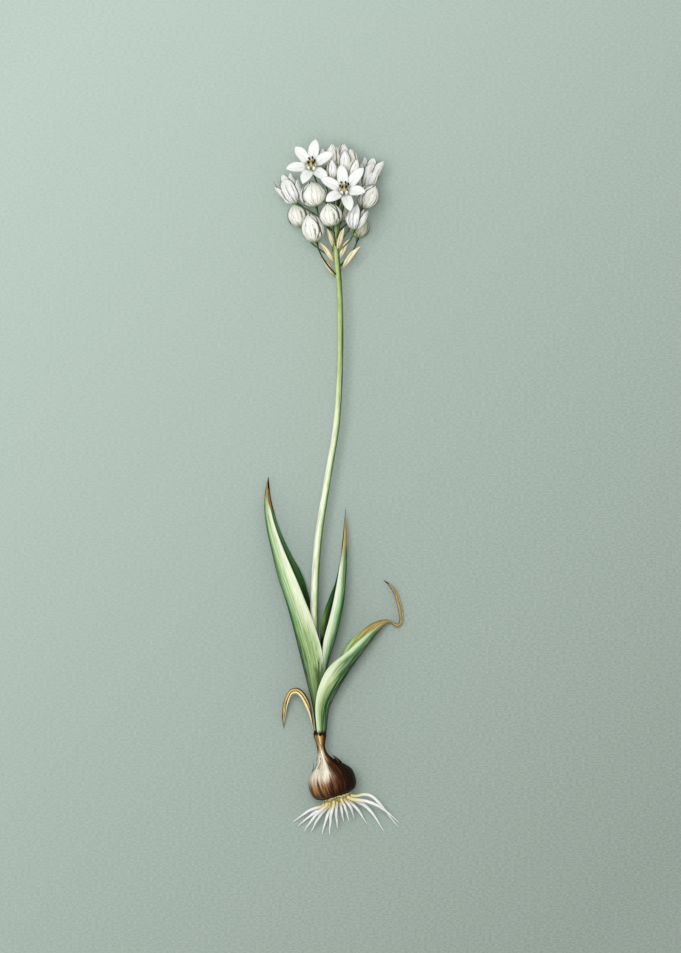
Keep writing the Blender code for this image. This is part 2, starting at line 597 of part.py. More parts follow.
def make_open_flowers():
    for name, (height, centre, facing, petals) in OPEN_FLOWERS.items():
        centre, facing = Vector(centre), Vector(facing).normalized()
        base = centre + facing * PISTIL_PROFILE[0][0]
        path = pedicel(height, base, facing)
        radii = [PEDICEL_RADIUS] * len(path)
        for along, radius in PISTIL_PROFILE[1:]:
            path.append(centre + facing * along)
            radii.append(radius)
        loft(f"{name}_pistil", "pistil", circle_rings(path, radii, FLOWER_SIDES))
        for number, (heading, reach) in enumerate(petals, 1):
            lift = WHORL_STEP * (number % 2)
            make_petal(f"{name}_petal_{number}", centre, facing, heading, reach, lift)
        make_stamens(f"{name}_stamens", centre, facing, Vector((1, 0, 0)))


def move_origin():
    """Moves every mesh so that the origin is at the middle of the underside of the whole plant."""
    corners = [v.co for obj in bpy.data.objects if not obj.hide_render for v in obj.data.vertices]
    low = Vector([min(c[i] for c in corners) for i in range(3)])
    high = Vector([max(c[i] for c in corners) for i in range(3)])
    shift = Vector(((low.x + high.x) / 2, (low.y + high.y) / 2, low.z))
    for obj in bpy.data.objects:
        for vertex in obj.data.vertices:
            vertex.co -= shift


def main():
    for obj in list(bpy.data.objects):
        bpy.data.objects.remove(obj)
    make_bulb()
    make_roots()
    make_scape()
    make_leaves()
    make_bracts()
    make_buds()
    make_cups()
    make_open_flowers()
    move_origin()


main()
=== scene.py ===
"""Chincherinchee, a whole plant with bulb and roots that lies on its back: the looks.

Each class below stands for one kind of piece. It reads the piece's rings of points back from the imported
solid, lofts a fine surface through them, and dresses it. Lengths are in millimetres, and become metres
where a mesh is made. Angles round a flower or the bulb start at the side that faces up, and grow to the
right.
"""

import logging
import math
from dataclasses import dataclass, field, replace
from enum import Enum

import bmesh
import bpy
import numpy as np
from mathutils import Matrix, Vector, noise


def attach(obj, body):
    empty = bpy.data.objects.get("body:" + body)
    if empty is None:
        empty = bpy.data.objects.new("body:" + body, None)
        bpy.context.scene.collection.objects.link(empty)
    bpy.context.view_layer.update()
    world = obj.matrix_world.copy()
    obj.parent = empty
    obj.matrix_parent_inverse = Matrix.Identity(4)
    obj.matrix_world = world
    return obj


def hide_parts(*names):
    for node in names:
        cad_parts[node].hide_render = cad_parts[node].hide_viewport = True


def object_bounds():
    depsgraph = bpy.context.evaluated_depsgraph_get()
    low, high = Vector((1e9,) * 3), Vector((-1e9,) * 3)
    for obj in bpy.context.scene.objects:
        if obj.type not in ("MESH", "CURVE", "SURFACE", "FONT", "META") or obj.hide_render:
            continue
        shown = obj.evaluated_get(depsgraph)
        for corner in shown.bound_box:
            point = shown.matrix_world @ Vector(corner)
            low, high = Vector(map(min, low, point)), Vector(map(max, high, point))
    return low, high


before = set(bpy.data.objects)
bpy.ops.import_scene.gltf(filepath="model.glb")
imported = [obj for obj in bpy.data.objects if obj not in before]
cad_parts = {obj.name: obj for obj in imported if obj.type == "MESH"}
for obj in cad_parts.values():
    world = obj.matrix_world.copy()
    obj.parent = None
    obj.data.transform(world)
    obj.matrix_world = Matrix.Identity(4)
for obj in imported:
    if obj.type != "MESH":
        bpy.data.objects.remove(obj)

CAD_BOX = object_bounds()
LOG = logging.getLogger("chincherinchee")

MM = 0.001
WELD = 1e-6
# The direction of the painted shade: every piece is painted darker where it faces right, towards the roots and
# down, as if lit from the upper left.
PAINTED_SHADE_SIDE = np.array([0.78, -0.5, -0.38])
# How finely a curve through rows is measured.
STEPS_BETWEEN_ROWS = 20
# How far apart the grain of two surfaces is laid, so that they don't share a pattern.
GRAIN_APART = 37.0
# How far the closed ends of a tube bow out, as a share of their radius.
END_BOW = 0.35
# How much wider than its middle row a sheet is somewhere, before its grain follows each row's own width.
MUCH_WIDER = 1.2
UPWARD = (0.0, 0.0, 1.0)
TO_FLOWERS = (0.0, 1.0, 0.0)

Colour = tuple[float, float, float, float]
Place = tuple[float, float, float]
Socket = bpy.types.NodeSocket
Input = Socket | float | str | None
Bands = dict[float, str]
Pieces = list[bpy.types.Object]


def srgb(code: str) -> Colour:
    """Turns a hex colour into linear numbers.

    Args:
        code: six hex digits.

    Returns:
        Linear red, green, blue and an alpha of 1.
    """
    shares = [int(code[i : i + 2], 16) / 255 for i in (0, 2, 4)]
    linear = [c / 12.92 if c <= 0.04045 else ((c + 0.055) / 1.055) ** 2.4 for c in shares]
    return (*linear, 1.0)


# -------- curves and rings


def smooth(rows: np.ndarray, at: np.ndarray) -> np.ndarray:
    """Reads a Catmull-Rom curve through rows of any shape.

    Args:
        rows: what the curve goes through, one entry for each whole number.
        at: where to read it.

    Returns:
        One entry for each number in at.
    """
    low = np.clip(np.floor(at).astype(int), 0, len(rows) - 2)
    u = (at - low).reshape(-1, *[1] * (rows.ndim - 1))
    wide = np.concatenate([2 * rows[:1] - rows[1:2], rows, 2 * rows[-1:] - rows[-2:-1]])
    before, start, end, after = (wide[low + k] for k in range(4))
    square = 2 * before - 5 * start + 4 * end - after
    cube = 3 * start - before - 3 * end + after
    return 0.5 * (2 * start + (end - before) * u + square * u**2 + cube * u**3)


def travelled(points: np.ndarray) -> np.ndarray:
    """Distance along a line of points at each of them."""
    return np.concatenate([[0.0], np.cumsum(np.linalg.norm(np.diff(points, axis=0), axis=1))])


def even(rows: np.ndarray, count: int, crowd: float = 1.0) -> np.ndarray:
    """Spaces rows evenly along their middle line.

    Args:
        rows: rings or rows of points.
        count: how many to return.
        crowd: above 1 crowds them towards the far end.

    Returns:
        The new rows.
    """
    numbers = np.linspace(0, len(rows) - 1, STEPS_BETWEEN_ROWS * len(rows))
    gone = travelled(smooth(rows, numbers).mean(axis=1))
    wanted = gone[-1] * (1 - (1 - np.linspace(0, 1, count)) ** crowd)
    return smooth(rows, np.interp(wanted, gone, numbers))


def unit(vectors: np.ndarray) -> np.ndarray:
    """Vectors at length 1."""
    return vectors / np.maximum(np.linalg.norm(vectors, axis=-1, keepdims=True), 1e-9)


def normals_of(grid: np.ndarray) -> np.ndarray:
    """The direction straight off a sheet at each of its points."""
    return unit(np.cross(np.gradient(grid, axis=1), np.gradient(grid, axis=0)))


def bell(x: np.ndarray, middle: float, width: float) -> np.ndarray:
    """A smooth bump of height 1 round middle."""
    return np.exp(-(((x - middle) / width) ** 2))


def ramp(x: np.ndarray, start: float, end: float) -> np.ndarray:
    """Rises smoothly from 0 at start to 1 at end."""
    t = np.clip((x - start) / (end - start), 0, 1)
    return t * t * (3 - 2 * t)


def wander(x: np.ndarray | float, y: np.ndarray | float, z: np.ndarray | float) -> np.ndarray:
    """Reads smooth noise.

    Args:
        x: the first coordinate of each place.
        y: the second.
        z: the third.

    Returns:
        A value from about -1 to 1 for each place.
    """
    places = np.stack(np.broadcast_arrays(x, y, z), -1).reshape(-1, 3)
    values = [noise.noise(Vector(p)) for p in places]
    return np.array(values).reshape(np.broadcast_shapes(np.shape(x), np.shape(y), np.shape(z)))


def seed_of(name: str) -> float:
    """A number from 0 to 50 that depends on a name only."""
    return sum(ord(letter) * (i + 3) for i, letter in enumerate(name)) % 499 / 10


def circle(count: int) -> np.ndarray:
    """A row of angles, spaced evenly round a circle."""
    return np.linspace(0, 2 * math.pi, count, endpoint=False)[None]


def lattice(rows: int, columns: int) -> tuple[np.ndarray, np.ndarray]:
    """Shares along a sheet as a column, and places across it, from -1 to 1, as a row."""
    return np.linspace(0, 1, rows)[:, None], np.linspace(-1, 1, columns)[None]


def fine_tube(rings: np.ndarray, rows: int, sides: int) -> np.ndarray:
    """Rings through coarse rings, with more of them and more sides.

    Args:
        rings: the coarse rings.
        rows: how many rings to return.
        sides: how many points each has.

    Returns:
        The fine rings.
    """
    long = even(rings, rows)
    middles = long.mean(axis=1)
    count = long.shape[1]
    wrapped = np.concatenate([long[:, -2:], long, long[:, :3]], axis=1).transpose(1, 0, 2)
    at = 2 + np.arange(sides) * count / sides
    fine = smooth(wrapped, at).transpose(1, 0, 2)
    spokes = fine - middles[:, None]
    radius = np.linalg.norm(long - middles[:, None], axis=2).mean(axis=1)
    return middles[:, None] + unit(spokes) * radius[:, None, None]


@dataclass
class Rings:
    """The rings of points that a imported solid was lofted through, from its base to its tip."""

    loops: np.ndarray
    tip: np.ndarray

    @classmethod
    def read(cls, node: str, sides: int, upward: bool = True) -> "Rings":
        """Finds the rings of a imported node.

        Args:
            node: the node's name.
            sides: how many points each ring has.
            upward: whether the tip is the end towards the flowers.

        Returns:
            The rings in order, each starting at the same side.
        """
        mesh = bmesh.new()
        mesh.from_mesh(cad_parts[node].data)
        bmesh.ops.remove_doubles(mesh, verts=mesh.verts, dist=WELD)
        poles = [v for v in mesh.verts if len(v.link_edges) == sides]
        tip = max(poles, key=lambda v: v.co.y if upward else -v.co.y)
        following = {}
        for face in tip.link_faces:
            corners = [corner.vert for corner in face.loops]
            k = corners.index(tip)
            following[corners[(k + 1) % 3]] = corners[(k + 2) % 3]
        ring = [next(iter(following))]
        while len(ring) < sides:
            ring.append(following[ring[-1]])
        seen = {tip}
        loops = []
        while len(set(ring)) == sides:
            seen.update(ring)
            loops.append(np.array([v.co for v in ring]) / MM)
            near = [{edge.other_vert(v) for edge in v.link_edges} - seen for v in ring]
            shared = [list(a & b) for a, b in zip(near, near[1:] + near[:1])]
            ring = [found[0] for found in shared if len(found) == 1]
        end = np.array(tip.co) / MM
        mesh.free()
        for i in range(1, len(loops)):
            shifts = [np.roll(loops[i], s, axis=0) for s in range(sides)]
            loops[i] = min(shifts, key=lambda ring, above=loops[i - 1]: ((ring - above) ** 2).sum())
        return cls(np.array(loops[::-1]), end)

    def blade(self) -> np.ndarray:
        """Folds the rings of a thin blade onto its middle surface.

        Returns:
            Rows of points from the front margin to the rear one, with the tip as the last row.
        """
        half = self.loops.shape[1] // 2
        before, after = np.roll(self.loops, 1, axis=1), np.roll(self.loops, -1, axis=1)
        around = np.linalg.norm(before - after, axis=2).T
        first = min(range(half), key=lambda k: around[k].sum() + around[k + half].sum())
        loops = np.roll(self.loops, -first, axis=1)
        rear = np.concatenate([loops[:, :1], loops[:, : half - 1 : -1]], axis=1)
        rows = (loops[:, : half + 1] + rear) / 2
        if rows[:, 0, 2].mean() < rows[:, -1, 2].mean():
            rows = rows[:, ::-1]
        end = np.broadcast_to(self.tip, (1, *rows.shape[1:]))
        return np.concatenate([rows, end])


class Axis:
    """A line with a radius at each place, that sheets can be wrapped round."""

    def __init__(self, points: np.ndarray, radii: np.ndarray, up: Place) -> None:
        """Keeps the line.

        Args:
            points: places on the line, from its base.
            radii: the radius at each.
            up: the direction where angles start.
        """
        self.points = points
        self.radii = radii
        self.gone = travelled(points)
        self.length = float(self.gone[-1])
        self.up = np.array(up)

    def number(self, share: np.ndarray) -> np.ndarray:
        """Turns shares of the length into fractional point numbers."""
        return np.interp(share * self.length, self.gone, np.arange(len(self.points)))

    def radius(self, share: np.ndarray) -> np.ndarray:
        """The radius at shares of the length."""
        return np.maximum(smooth(self.radii, self.number(share.ravel())), 0.0).reshape(share.shape)

    def wrap(self, share: np.ndarray, turn: np.ndarray, radius: np.ndarray) -> np.ndarray:
        """Places points round the line.

        Args:
            share: how far along the line, from 0 to 1, or past 1 on its straight continuation.
            turn: the angle in radians.
            radius: the distance from the line.

        Returns:
            One point for each entry.
        """
        shape = np.broadcast_shapes(share.shape, turn.shape, radius.shape)
        flat = np.broadcast_to(share, shape).ravel()
        kept = np.clip(flat, 0, 1)
        number = self.number(kept)
        middle = smooth(self.points, number)
        step = 1e-3
        ahead = smooth(self.points, self.number(np.clip(kept + step, 0, 1)))
        behind = smooth(self.points, self.number(np.clip(kept - step, 0, 1)))
        forward = unit(ahead - behind)
        middle = middle + forward * ((flat - kept) * self.length)[:, None]
        first = unit(self.up - forward * (forward @ self.up)[:, None])
        second = np.cross(forward, first)
        turn = np.broadcast_to(turn, shape).ravel()[:, None]
        radius = np.broadcast_to(radius, shape).ravel()[:, None]
        return (middle + (first * np.cos(turn) + second * np.sin(turn)) * radius).reshape(*shape, 3)


# -------- meshes


def quads(rows: int, columns: int) -> list[list[int]]:
    """Faces between rings of points that are numbered ring by ring.

    Args:
        rows: how many rings there are.
        columns: how many points each has.

    Returns:
        Four point numbers for each face.
    """
    low = np.arange(rows - 1)[:, None] * columns
    here = np.arange(columns)[None, :]
    after = (here + 1) % columns
    corners = [low + here, low + after, low + columns + after, low + columns + here]
    return np.stack(corners, -1).reshape(-1, 4).tolist()


def two_sides(inner: np.ndarray, outer: np.ndarray) -> np.ndarray:
    """Joins rows of a sheet's inner side to those of its outer side, in the order of its rings."""
    return np.concatenate([inner, outer[:, ::-1]], axis=1)


class Slot(Enum):
    """The record's material slots."""

    SCAPE = "scape"
    LEAF = "leaf"
    WITHERED = "withered_leaf"
    TUNIC = "tunic"
    PLATE = "basal_plate"
    ROOT = "root"
    BRACT = "bract"
    PETAL = "petal"
    BUD = "bud"
    STAMENS = "stamens"
    PISTIL = "pistil"


class Shape:
    """Gathers closed surfaces into one mesh, with the coordinates that the finishes read.

    The attribute place holds the share of the way along, the place across from -1 to 1, and 1 on the inner
    side of a sheet. The attribute grain holds millimetres across, across and along, set apart for each
    surface, so that no two have the same pattern. The attribute state holds how far a surface is turned to
    its right and lower side, where the finishes paint shade, how steep it stands, where they paint shade
    too, and how dry it is.
    """

    def __init__(self, name: str) -> None:
        """Starts an empty mesh.

        Args:
            name: the name of the object that it becomes.
        """
        self.name = name
        self.points: list[np.ndarray] = []
        self.faces: list[tuple[int, ...]] = []
        self.kinds: list[int] = []
        self.place: list[np.ndarray] = []
        self.grain: list[np.ndarray] = []
        self.dry: list[np.ndarray] = []
        self.count = 0

    def _add(self, points: np.ndarray, faces: list[list[int]], place: np.ndarray, grain: np.ndarray,
             dry: np.ndarray, kind: int) -> None:
        """Adds one closed surface, turned so that its faces point out.

        Args:
            points: its points.
            faces: the point numbers of each face.
            place: the attribute place.
            grain: the attribute grain.
            dry: how dry each point is.
            kind: which of the mesh's finishes it has.
        """
        middle = points.mean(axis=0)
        volume = 0.0
        for face in faces:
            a, *others = (points[i] - middle for i in face)
            for b, c in zip(others, others[1:]):
                volume += float(np.dot(a, np.cross(b, c)))
        if volume < 0:
            faces = [face[::-1] for face in faces]
        self.faces += [tuple(int(i) + self.count for i in face) for face in faces]
        self.kinds += [kind] * len(faces)
        self.points.append(points)
        self.place.append(place)
        self.grain.append(grain + GRAIN_APART * len(self.points))
        self.dry.append(dry)
        self.count += len(points)

    def tube(self, rings: np.ndarray, kind: int = 0, dry: np.ndarray | None = None,
             girth: float = 0.0) -> None:
        """Adds a surface through rings, with a low point over each end.

        Args:
            rings: the rings, from base to tip.
            kind: which of the mesh's finishes it has.
            dry: how dry each ring is.
            girth: the radius at which its grain is laid out, where that isn't its own.
        """
        rows, columns = rings.shape[:2]
        middles = rings.mean(axis=1)
        gone = travelled(middles)
        bow = END_BOW * np.linalg.norm(rings[[0, -1]] - middles[[0, -1], None], axis=2).min(axis=1)
        first = middles[0] - unit(middles[1] - middles[0]) * bow[0]
        last = middles[-1] + unit(middles[-1] - middles[-2]) * bow[1]
        faces = quads(rows, columns)
        total, top = rows * columns, (rows - 1) * columns
        for k in range(columns):
            n = (k + 1) % columns
            faces += [[total, n, k], [total + 1, top + k, top + n]]
        spokes = rings - middles[:, None]
        side = spokes[..., 0] / np.maximum(np.linalg.norm(spokes, axis=2), 1e-6)
        along = np.repeat((gone / gone[-1])[:, None], columns, 1)
        place = np.stack([along, side, np.zeros_like(side)], -1).reshape(-1, 3)
        place = np.concatenate([place, [[0, 0, 0], [1, 0, 0]]])
        angle = np.broadcast_to(2 * math.pi * np.arange(columns) / columns, (rows, columns))
        size = np.full((rows, columns), girth) if girth else np.linalg.norm(spokes, axis=2)
        length = np.repeat(gone[:, None], columns, 1)
        grain = np.stack([size * np.cos(angle), size * np.sin(angle), length], -1)
        grain = np.concatenate([grain.reshape(-1, 3), [[0, 0, 0], [0, 0, gone[-1]]]])
        dryness = np.zeros(rows) if dry is None else dry
        dryness = np.concatenate([np.repeat(dryness, columns), dryness[[0, -1]]])
        self._add(np.concatenate([rings.reshape(-1, 3), [first, last]]), faces, place, grain, dryness, kind)

    def sheet(self, middle: np.ndarray, thickness: np.ndarray, inward: np.ndarray, kind: int = 0,
              dry: np.ndarray | None = None, place: tuple[np.ndarray, np.ndarray] | None = None) -> None:
        """Adds a thin closed sheet.

        Args:
            middle: rows of points on its middle surface.
            thickness: its thickness at each.
            inward: a direction, or one for each point, on the sheet's inner side.
            kind: which of the mesh's finishes it has.
            dry: how dry each point is.
            place: how far along and across each point is, where that isn't the sheet's own.
        """
        rows, columns = middle.shape[:2]
        normals = normals_of(middle)
        normals[-1] = normals[-2]
        if (normals[: rows // 2] * np.broadcast_to(inward, middle.shape)[: rows // 2]).sum() < 0:
            normals = -normals
        inner = middle + normals * thickness[..., None] / 2
        outer = middle - normals * thickness[..., None] / 2
        rings = two_sides(inner, outer)
        faces = quads(rows, 2 * columns)
        top = (rows - 1) * 2 * columns
        for k in range(columns - 1):
            ends = [k, k + 1, 2 * columns - 2 - k, 2 * columns - 1 - k]
            faces += [ends[::-1], [top + i for i in ends]]
        gone = travelled(middle[:, columns // 2])
        length = np.repeat(gone[:, None], columns, 1)
        share = length / gone[-1]
        span = np.repeat(np.linspace(-1, 1, columns)[None], rows, 0)
        width = travelled(middle[rows // 2])[-1]
        widths = np.linalg.norm(middle[:, :1] - middle[:, -1:], axis=2)
        breadth = span * np.where(widths.max() > MUCH_WIDER * width, widths, width) / 2
        nil = np.zeros_like(share)
        side = two_sides(nil + 1, nil)
        grain = np.stack([two_sides(breadth, breadth), side, two_sides(length, length)], -1)
        share, span = place or (share, span)
        where = np.stack([two_sides(share, share), two_sides(span, span), side], -1)
        dryness = nil if dry is None else dry
        self._add(rings.reshape(-1, 3), faces, where.reshape(-1, 3), grain.reshape(-1, 3),
                  two_sides(dryness, dryness).ravel(), kind)

    def build(self, node: str, slot: Slot, finishes: list[bpy.types.Material]) -> bpy.types.Object:
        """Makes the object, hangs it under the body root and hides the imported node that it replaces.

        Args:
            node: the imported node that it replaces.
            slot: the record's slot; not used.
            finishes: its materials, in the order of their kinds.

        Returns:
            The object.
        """
        mesh = bpy.data.meshes.new(self.name)
        mesh.from_pydata(np.concatenate(self.points) * MM, [], self.faces)
        for name, parts in (("place", self.place), ("grain", self.grain)):
            attribute = mesh.attributes.new(name, "FLOAT_VECTOR", "POINT")
            attribute.data.foreach_set("vector", np.concatenate(parts).astype(np.float32).ravel())
        for material in finishes:
            mesh.materials.append(material)
        mesh.polygons.foreach_set("material_index", self.kinds)
        mesh.shade_smooth()
        normals = np.zeros(3 * self.count, np.float32)
        mesh.vertex_normals.foreach_get("vector", normals)
        normals = normals.reshape(-1, 3)
        # The first two numbers of state say where the finishes paint shade: on the side turned away from the
        # light, and where the surface stands steeply.
        state = np.stack([normals @ PAINTED_SHADE_SIDE, 1 - np.abs(normals[:, 2]), np.concatenate(self.dry)], -1)
        attribute = mesh.attributes.new("state", "FLOAT_VECTOR", "POINT")
        attribute.data.foreach_set("vector", np.clip(state, 0, 1).astype(np.float32).ravel())
        piece = bpy.data.objects.new(self.name, mesh)
        bpy.context.scene.collection.objects.link(piece)
        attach(piece, "root")
        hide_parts(node)
        return piece


# -------- finishes


class Effect(Enum):
    """The shader node groups that the finishes share. Each puts out one value."""

    FIBRES = "fibres"
    LINES = "lengthwise lines"
    SWAY = "sway"


class Effects:
    """Makes each shared node group once."""

    def __init__(self) -> None:
        """Makes the three groups."""
        self.groups = {
            Effect.FIBRES: self._fibres(),
            Effect.LINES: self._lines(),
            Effect.SWAY: self._sway(),
        }

    @staticmethod
    def _start(
        effect: Effect, inputs: dict[str, float | None],
    ) -> tuple[bpy.types.NodeTree, dict[str, Socket], bpy.types.Node]:
        """Makes an empty group.

        Args:
            effect: which one.
            inputs: each input's name with its default, or None for a vector.

        Returns:
            The tree, its inputs by name, and its output node.
        """
        tree = bpy.data.node_groups.new(effect.value, "ShaderNodeTree")
        for name, default in inputs.items():
            kind = "NodeSocketVector" if default is None else "NodeSocketFloat"
            made = tree.interface.new_socket(name, in_out="INPUT", socket_type=kind)
            if default is not None:
                made.default_value = default
        tree.interface.new_socket("Value", in_out="OUTPUT", socket_type="NodeSocketFloat")
        source, sink = tree.nodes.new("NodeGroupInput"), tree.nodes.new("NodeGroupOutput")
        return tree, {name: source.outputs[name] for name in inputs}, sink

    @staticmethod
    def _put(tree: bpy.types.NodeTree, kind: str, values: list[Input], **settings: str) -> Socket:
        """Adds a node and joins or sets its inputs in order.

        Args:
            tree: where it goes.
            kind: the node's type.
            values: a socket, a number or None for each input.
            settings: the node's own settings.

        Returns:
            Its first output.
        """
        node = tree.nodes.new(kind)
        for name, value in settings.items():
            setattr(node, name, value)
        for socket, value in zip(node.inputs, values):
            if isinstance(value, bpy.types.NodeSocket):
                tree.links.new(value, socket)
            elif value is not None:
                socket.default_value = value
        return node.outputs[0]

    def _stretched(self, tree: bpy.types.NodeTree, grain: Socket, across: Input, along: Input,
                   detail: float) -> Socket:
        """Noise that is fine across the grain and long along it.

        Args:
            tree: where it goes.
            grain: the grain's coordinates.
            across: spots for each millimetre across.
            along: spots for each millimetre along.
            detail: the noise's detail.

        Returns:
            The noise's value.
        """
        scale = self._put(tree, "ShaderNodeCombineXYZ", [across, across, along])
        place = self._put(tree, "ShaderNodeVectorMath", [grain, scale], operation="MULTIPLY")
        return self._put(tree, "ShaderNodeTexNoise", [place, None, 1.0, detail, 0.6])

    def _contrast(self, tree: bpy.types.NodeTree, value: Socket, low: Input, high: Input) -> Socket:
        """A smooth step of a value from low to high."""
        values = [value, low, high, 0.0, 1.0]
        return self._put(tree, "ShaderNodeMapRange", values, interpolation_type="SMOOTHSTEP")

    def _math(self, tree: bpy.types.NodeTree, operation: str, *values: Input) -> Socket:
        """A sum on up to three values."""
        return self._put(tree, "ShaderNodeMath", list(values), operation=operation)

    def _fibres(self) -> bpy.types.NodeTree:
        """Makes streaks or blotches that follow the grain.

        Returns:
            The group's tree.
        """
        inputs = {"Grain": None, "Across": 4.0, "Along": 0.3, "Low": 0.4, "High": 0.6}
        tree, given, sink = self._start(Effect.FIBRES, inputs)
        value = self._stretched(tree, given["Grain"], given["Across"], given["Along"], 2.0)
        tree.links.new(self._contrast(tree, value, given["Low"], given["High"]), sink.inputs["Value"])
        return tree

    def _lines(self) -> bpy.types.NodeTree:
        """Makes thin lines along a blade, which waver and break off.

        Returns:
            The group's tree.
        """
        inputs = {"Grain": None, "Place": 0.0, "Count": 8.0, "Width": 0.3, "Waver": 0.3, "Unbroken": 0.5}
        tree, given, sink = self._start(Effect.LINES, inputs)
        drift = self._stretched(tree, given["Grain"], 0.3, 0.15, 1.0)
        shift = self._math(tree, "MULTIPLY", drift, given["Waver"])
        row = self._math(tree, "MULTIPLY_ADD", given["Place"], given["Count"], shift)
        saw = self._math(tree, "PINGPONG", row, 1.0)
        line = self._contrast(tree, saw, given["Width"], 0.0)
        gaps = self._stretched(tree, given["Grain"], 1.2, 0.25, 2.0)
        bound = self._math(tree, "SUBTRACT", 1.0, given["Unbroken"])
        upper = self._math(tree, "ADD", bound, 0.2)
        kept = self._contrast(tree, gaps, bound, upper)
        tree.links.new(self._math(tree, "MULTIPLY", line, kept), sink.inputs["Value"])
        return tree

    def _sway(self) -> bpy.types.NodeTree:
        """Makes a place that wanders to and fro, for uneven borders between colours.

        Returns:
            The group's tree.
        """
        inputs = {"Grain": None, "Place": 0.0, "Uneven": 0.1, "Across": 1.5, "Along": 0.12}
        tree, given, sink = self._start(Effect.SWAY, inputs)
        value = self._stretched(tree, given["Grain"], given["Across"], given["Along"], 3.0)
        middle = self._math(tree, "SUBTRACT", value, 0.5)
        place = self._math(tree, "MULTIPLY_ADD", middle, given["Uneven"], given["Place"])
        tree.links.new(place, sink.inputs["Value"])
        return tree


EFFECTS = Effects()


class Finish:
    """A material in the making: its nodes are added from the coordinates to the shader."""

    # The numbers of a mix node's sockets for colours.
    MIX_BASE = 6
    MIX_COLOUR = 7
    MIX_RESULT = 2

    def __init__(self, name: str, roughness: float, shine: float = 0.12) -> None:
        """Starts a material.

        Args:
            name: its name.
            roughness: the roughness all over.
            shine: the strength of its reflections.
        """
        self.material = bpy.data.materials.new(name)
        self.material.use_nodes = True
        self.tree = self.material.node_tree
        self.shader = self.tree.nodes["Principled BSDF"]
        self.shader.inputs["Roughness"].default_value = roughness
        self.shader.inputs["Specular IOR Level"].default_value = shine
        self.along, self.across, self.inner = self._parts("place")
        # shade is how far a point is turned to the side where the finishes paint shade, and steep how steeply
        # it stands, where they paint shade too.
        self.shade, self.steep, self.dry = self._parts("state")
        self.grain = self._attribute("grain")

    def _attribute(self, name: str) -> Socket:
        """Reads one of the mesh's attributes.

        Args:
            name: the attribute's name.

        Returns:
            Its value.
        """
        node = self.tree.nodes.new("ShaderNodeAttribute")
        node.attribute_name = name
        return node.outputs["Vector"]

    def _parts(self, name: str) -> list[Socket]:
        """Reads the three numbers of one of the mesh's attributes.

        Args:
            name: the attribute's name.

        Returns:
            A socket for each number.
        """
        parts = self.tree.nodes.new("ShaderNodeSeparateXYZ")
        self.tree.links.new(self._attribute(name), parts.inputs[0])
        return list(parts.outputs)

    def join(self, value: Input, socket: Socket) -> None:
        """Links a socket to another, or sets it.

        Args:
            value: the other socket, a number or a hex colour.
            socket: the input that takes it.
        """
        if isinstance(value, bpy.types.NodeSocket):
            self.tree.links.new(value, socket)
        else:
            socket.default_value = srgb(value) if isinstance(value, str) else value

    def effect(self, which: Effect, **inputs: Input) -> Socket:
        """Places a shared effect.

        Args:
            which: the effect.
            inputs: its inputs by name, apart from the grain.

        Returns:
            Its value.
        """
        node = self.tree.nodes.new("ShaderNodeGroup")
        node.node_tree = EFFECTS.groups[which]
        self.tree.links.new(self.grain, node.inputs["Grain"])
        for name, value in inputs.items():
            self.join(value, node.inputs[name.capitalize()])
        return node.outputs["Value"]

    def fibres(self, across: float, along: float, low: float, high: float) -> Socket:
        """Streaks, so many to a millimetre each way, where the noise rises from low to high."""
        return self.effect(Effect.FIBRES, across=across, along=along, low=low, high=high)

    def sway(self, place: Socket, uneven: float) -> Socket:
        """A place that wanders by about a third of uneven."""
        return self.effect(Effect.SWAY, place=place, uneven=uneven)

    def fade(self, place: Socket, start: float, end: float, uneven: float) -> Socket:
        """A mask that is 0 at start and 1 at end, with an uneven border."""
        return self.step(self.sway(place, uneven), start, end)

    def math(self, operation: str, first: Input, second: Input = 0.0) -> Socket:
        """Does a sum on one or two numbers.

        Args:
            operation: the sum.
            first: the first number.
            second: the second, where the sum has one.

        Returns:
            The result, held between 0 and 1.
        """
        node = self.tree.nodes.new("ShaderNodeMath")
        node.operation = operation
        node.use_clamp = True
        self.join(first, node.inputs[0])
        self.join(second, node.inputs[1])
        return node.outputs[0]

    def both(self, *masks: Input) -> Socket:
        """Multiplies masks and strengths.

        Args:
            masks: the masks, the first of which is a socket, and numbers from 0 to 1.

        Returns:
            The product.
        """
        result = masks[0]
        for other in masks[1:]:
            result = self.math("MULTIPLY", result, other)
        return result

    def either(self, first: Input, second: Input) -> Socket:
        """The sum of two masks, up to 1."""
        return self.math("ADD", first, second)

    def step(self, value: Socket, start: float, end: float) -> Socket:
        """Turns a value into a mask with a smooth border.

        Args:
            value: the value.
            start: where the mask is 0.
            end: where it is 1.

        Returns:
            The mask.
        """
        node = self.tree.nodes.new("ShaderNodeMapRange")
        node.interpolation_type = "SMOOTHSTEP"
        for socket, given in zip(node.inputs, (value, start, end)):
            self.join(given, socket)
        return node.outputs[0]

    def edge(self, start: float, end: float) -> Socket:
        """A mask on how far a blade's points lie from its middle: 0 at start and 1 at end."""
        return self.step(self.math("ABSOLUTE", self.across), start, end)

    def bands(self, place: Socket, stops: Bands, lowest: float = -1.0) -> Socket:
        """Colours that run into each other across a blade, along it or round a stem.

        Args:
            place: a value from lowest to 1.
            stops: the hex colour at each place.
            lowest: the least value that the place takes.

        Returns:
            The colour.
        """
        level = self.tree.nodes.new("ShaderNodeMapRange")
        self.join(place, level.inputs[0])
        self.join(lowest, level.inputs[1])
        node = self.tree.nodes.new("ShaderNodeValToRGB")
        self.tree.links.new(level.outputs[0], node.inputs[0])
        elements = node.color_ramp.elements
        places = [((stop - lowest) / (1 - lowest), srgb(colour)) for stop, colour in stops.items()]
        for element, (position, colour) in zip([elements[0], elements[1]], places):
            element.position = position
            element.color = colour
        for position, colour in places[2:]:
            elements.new(position).color = colour
        return node.outputs[0]

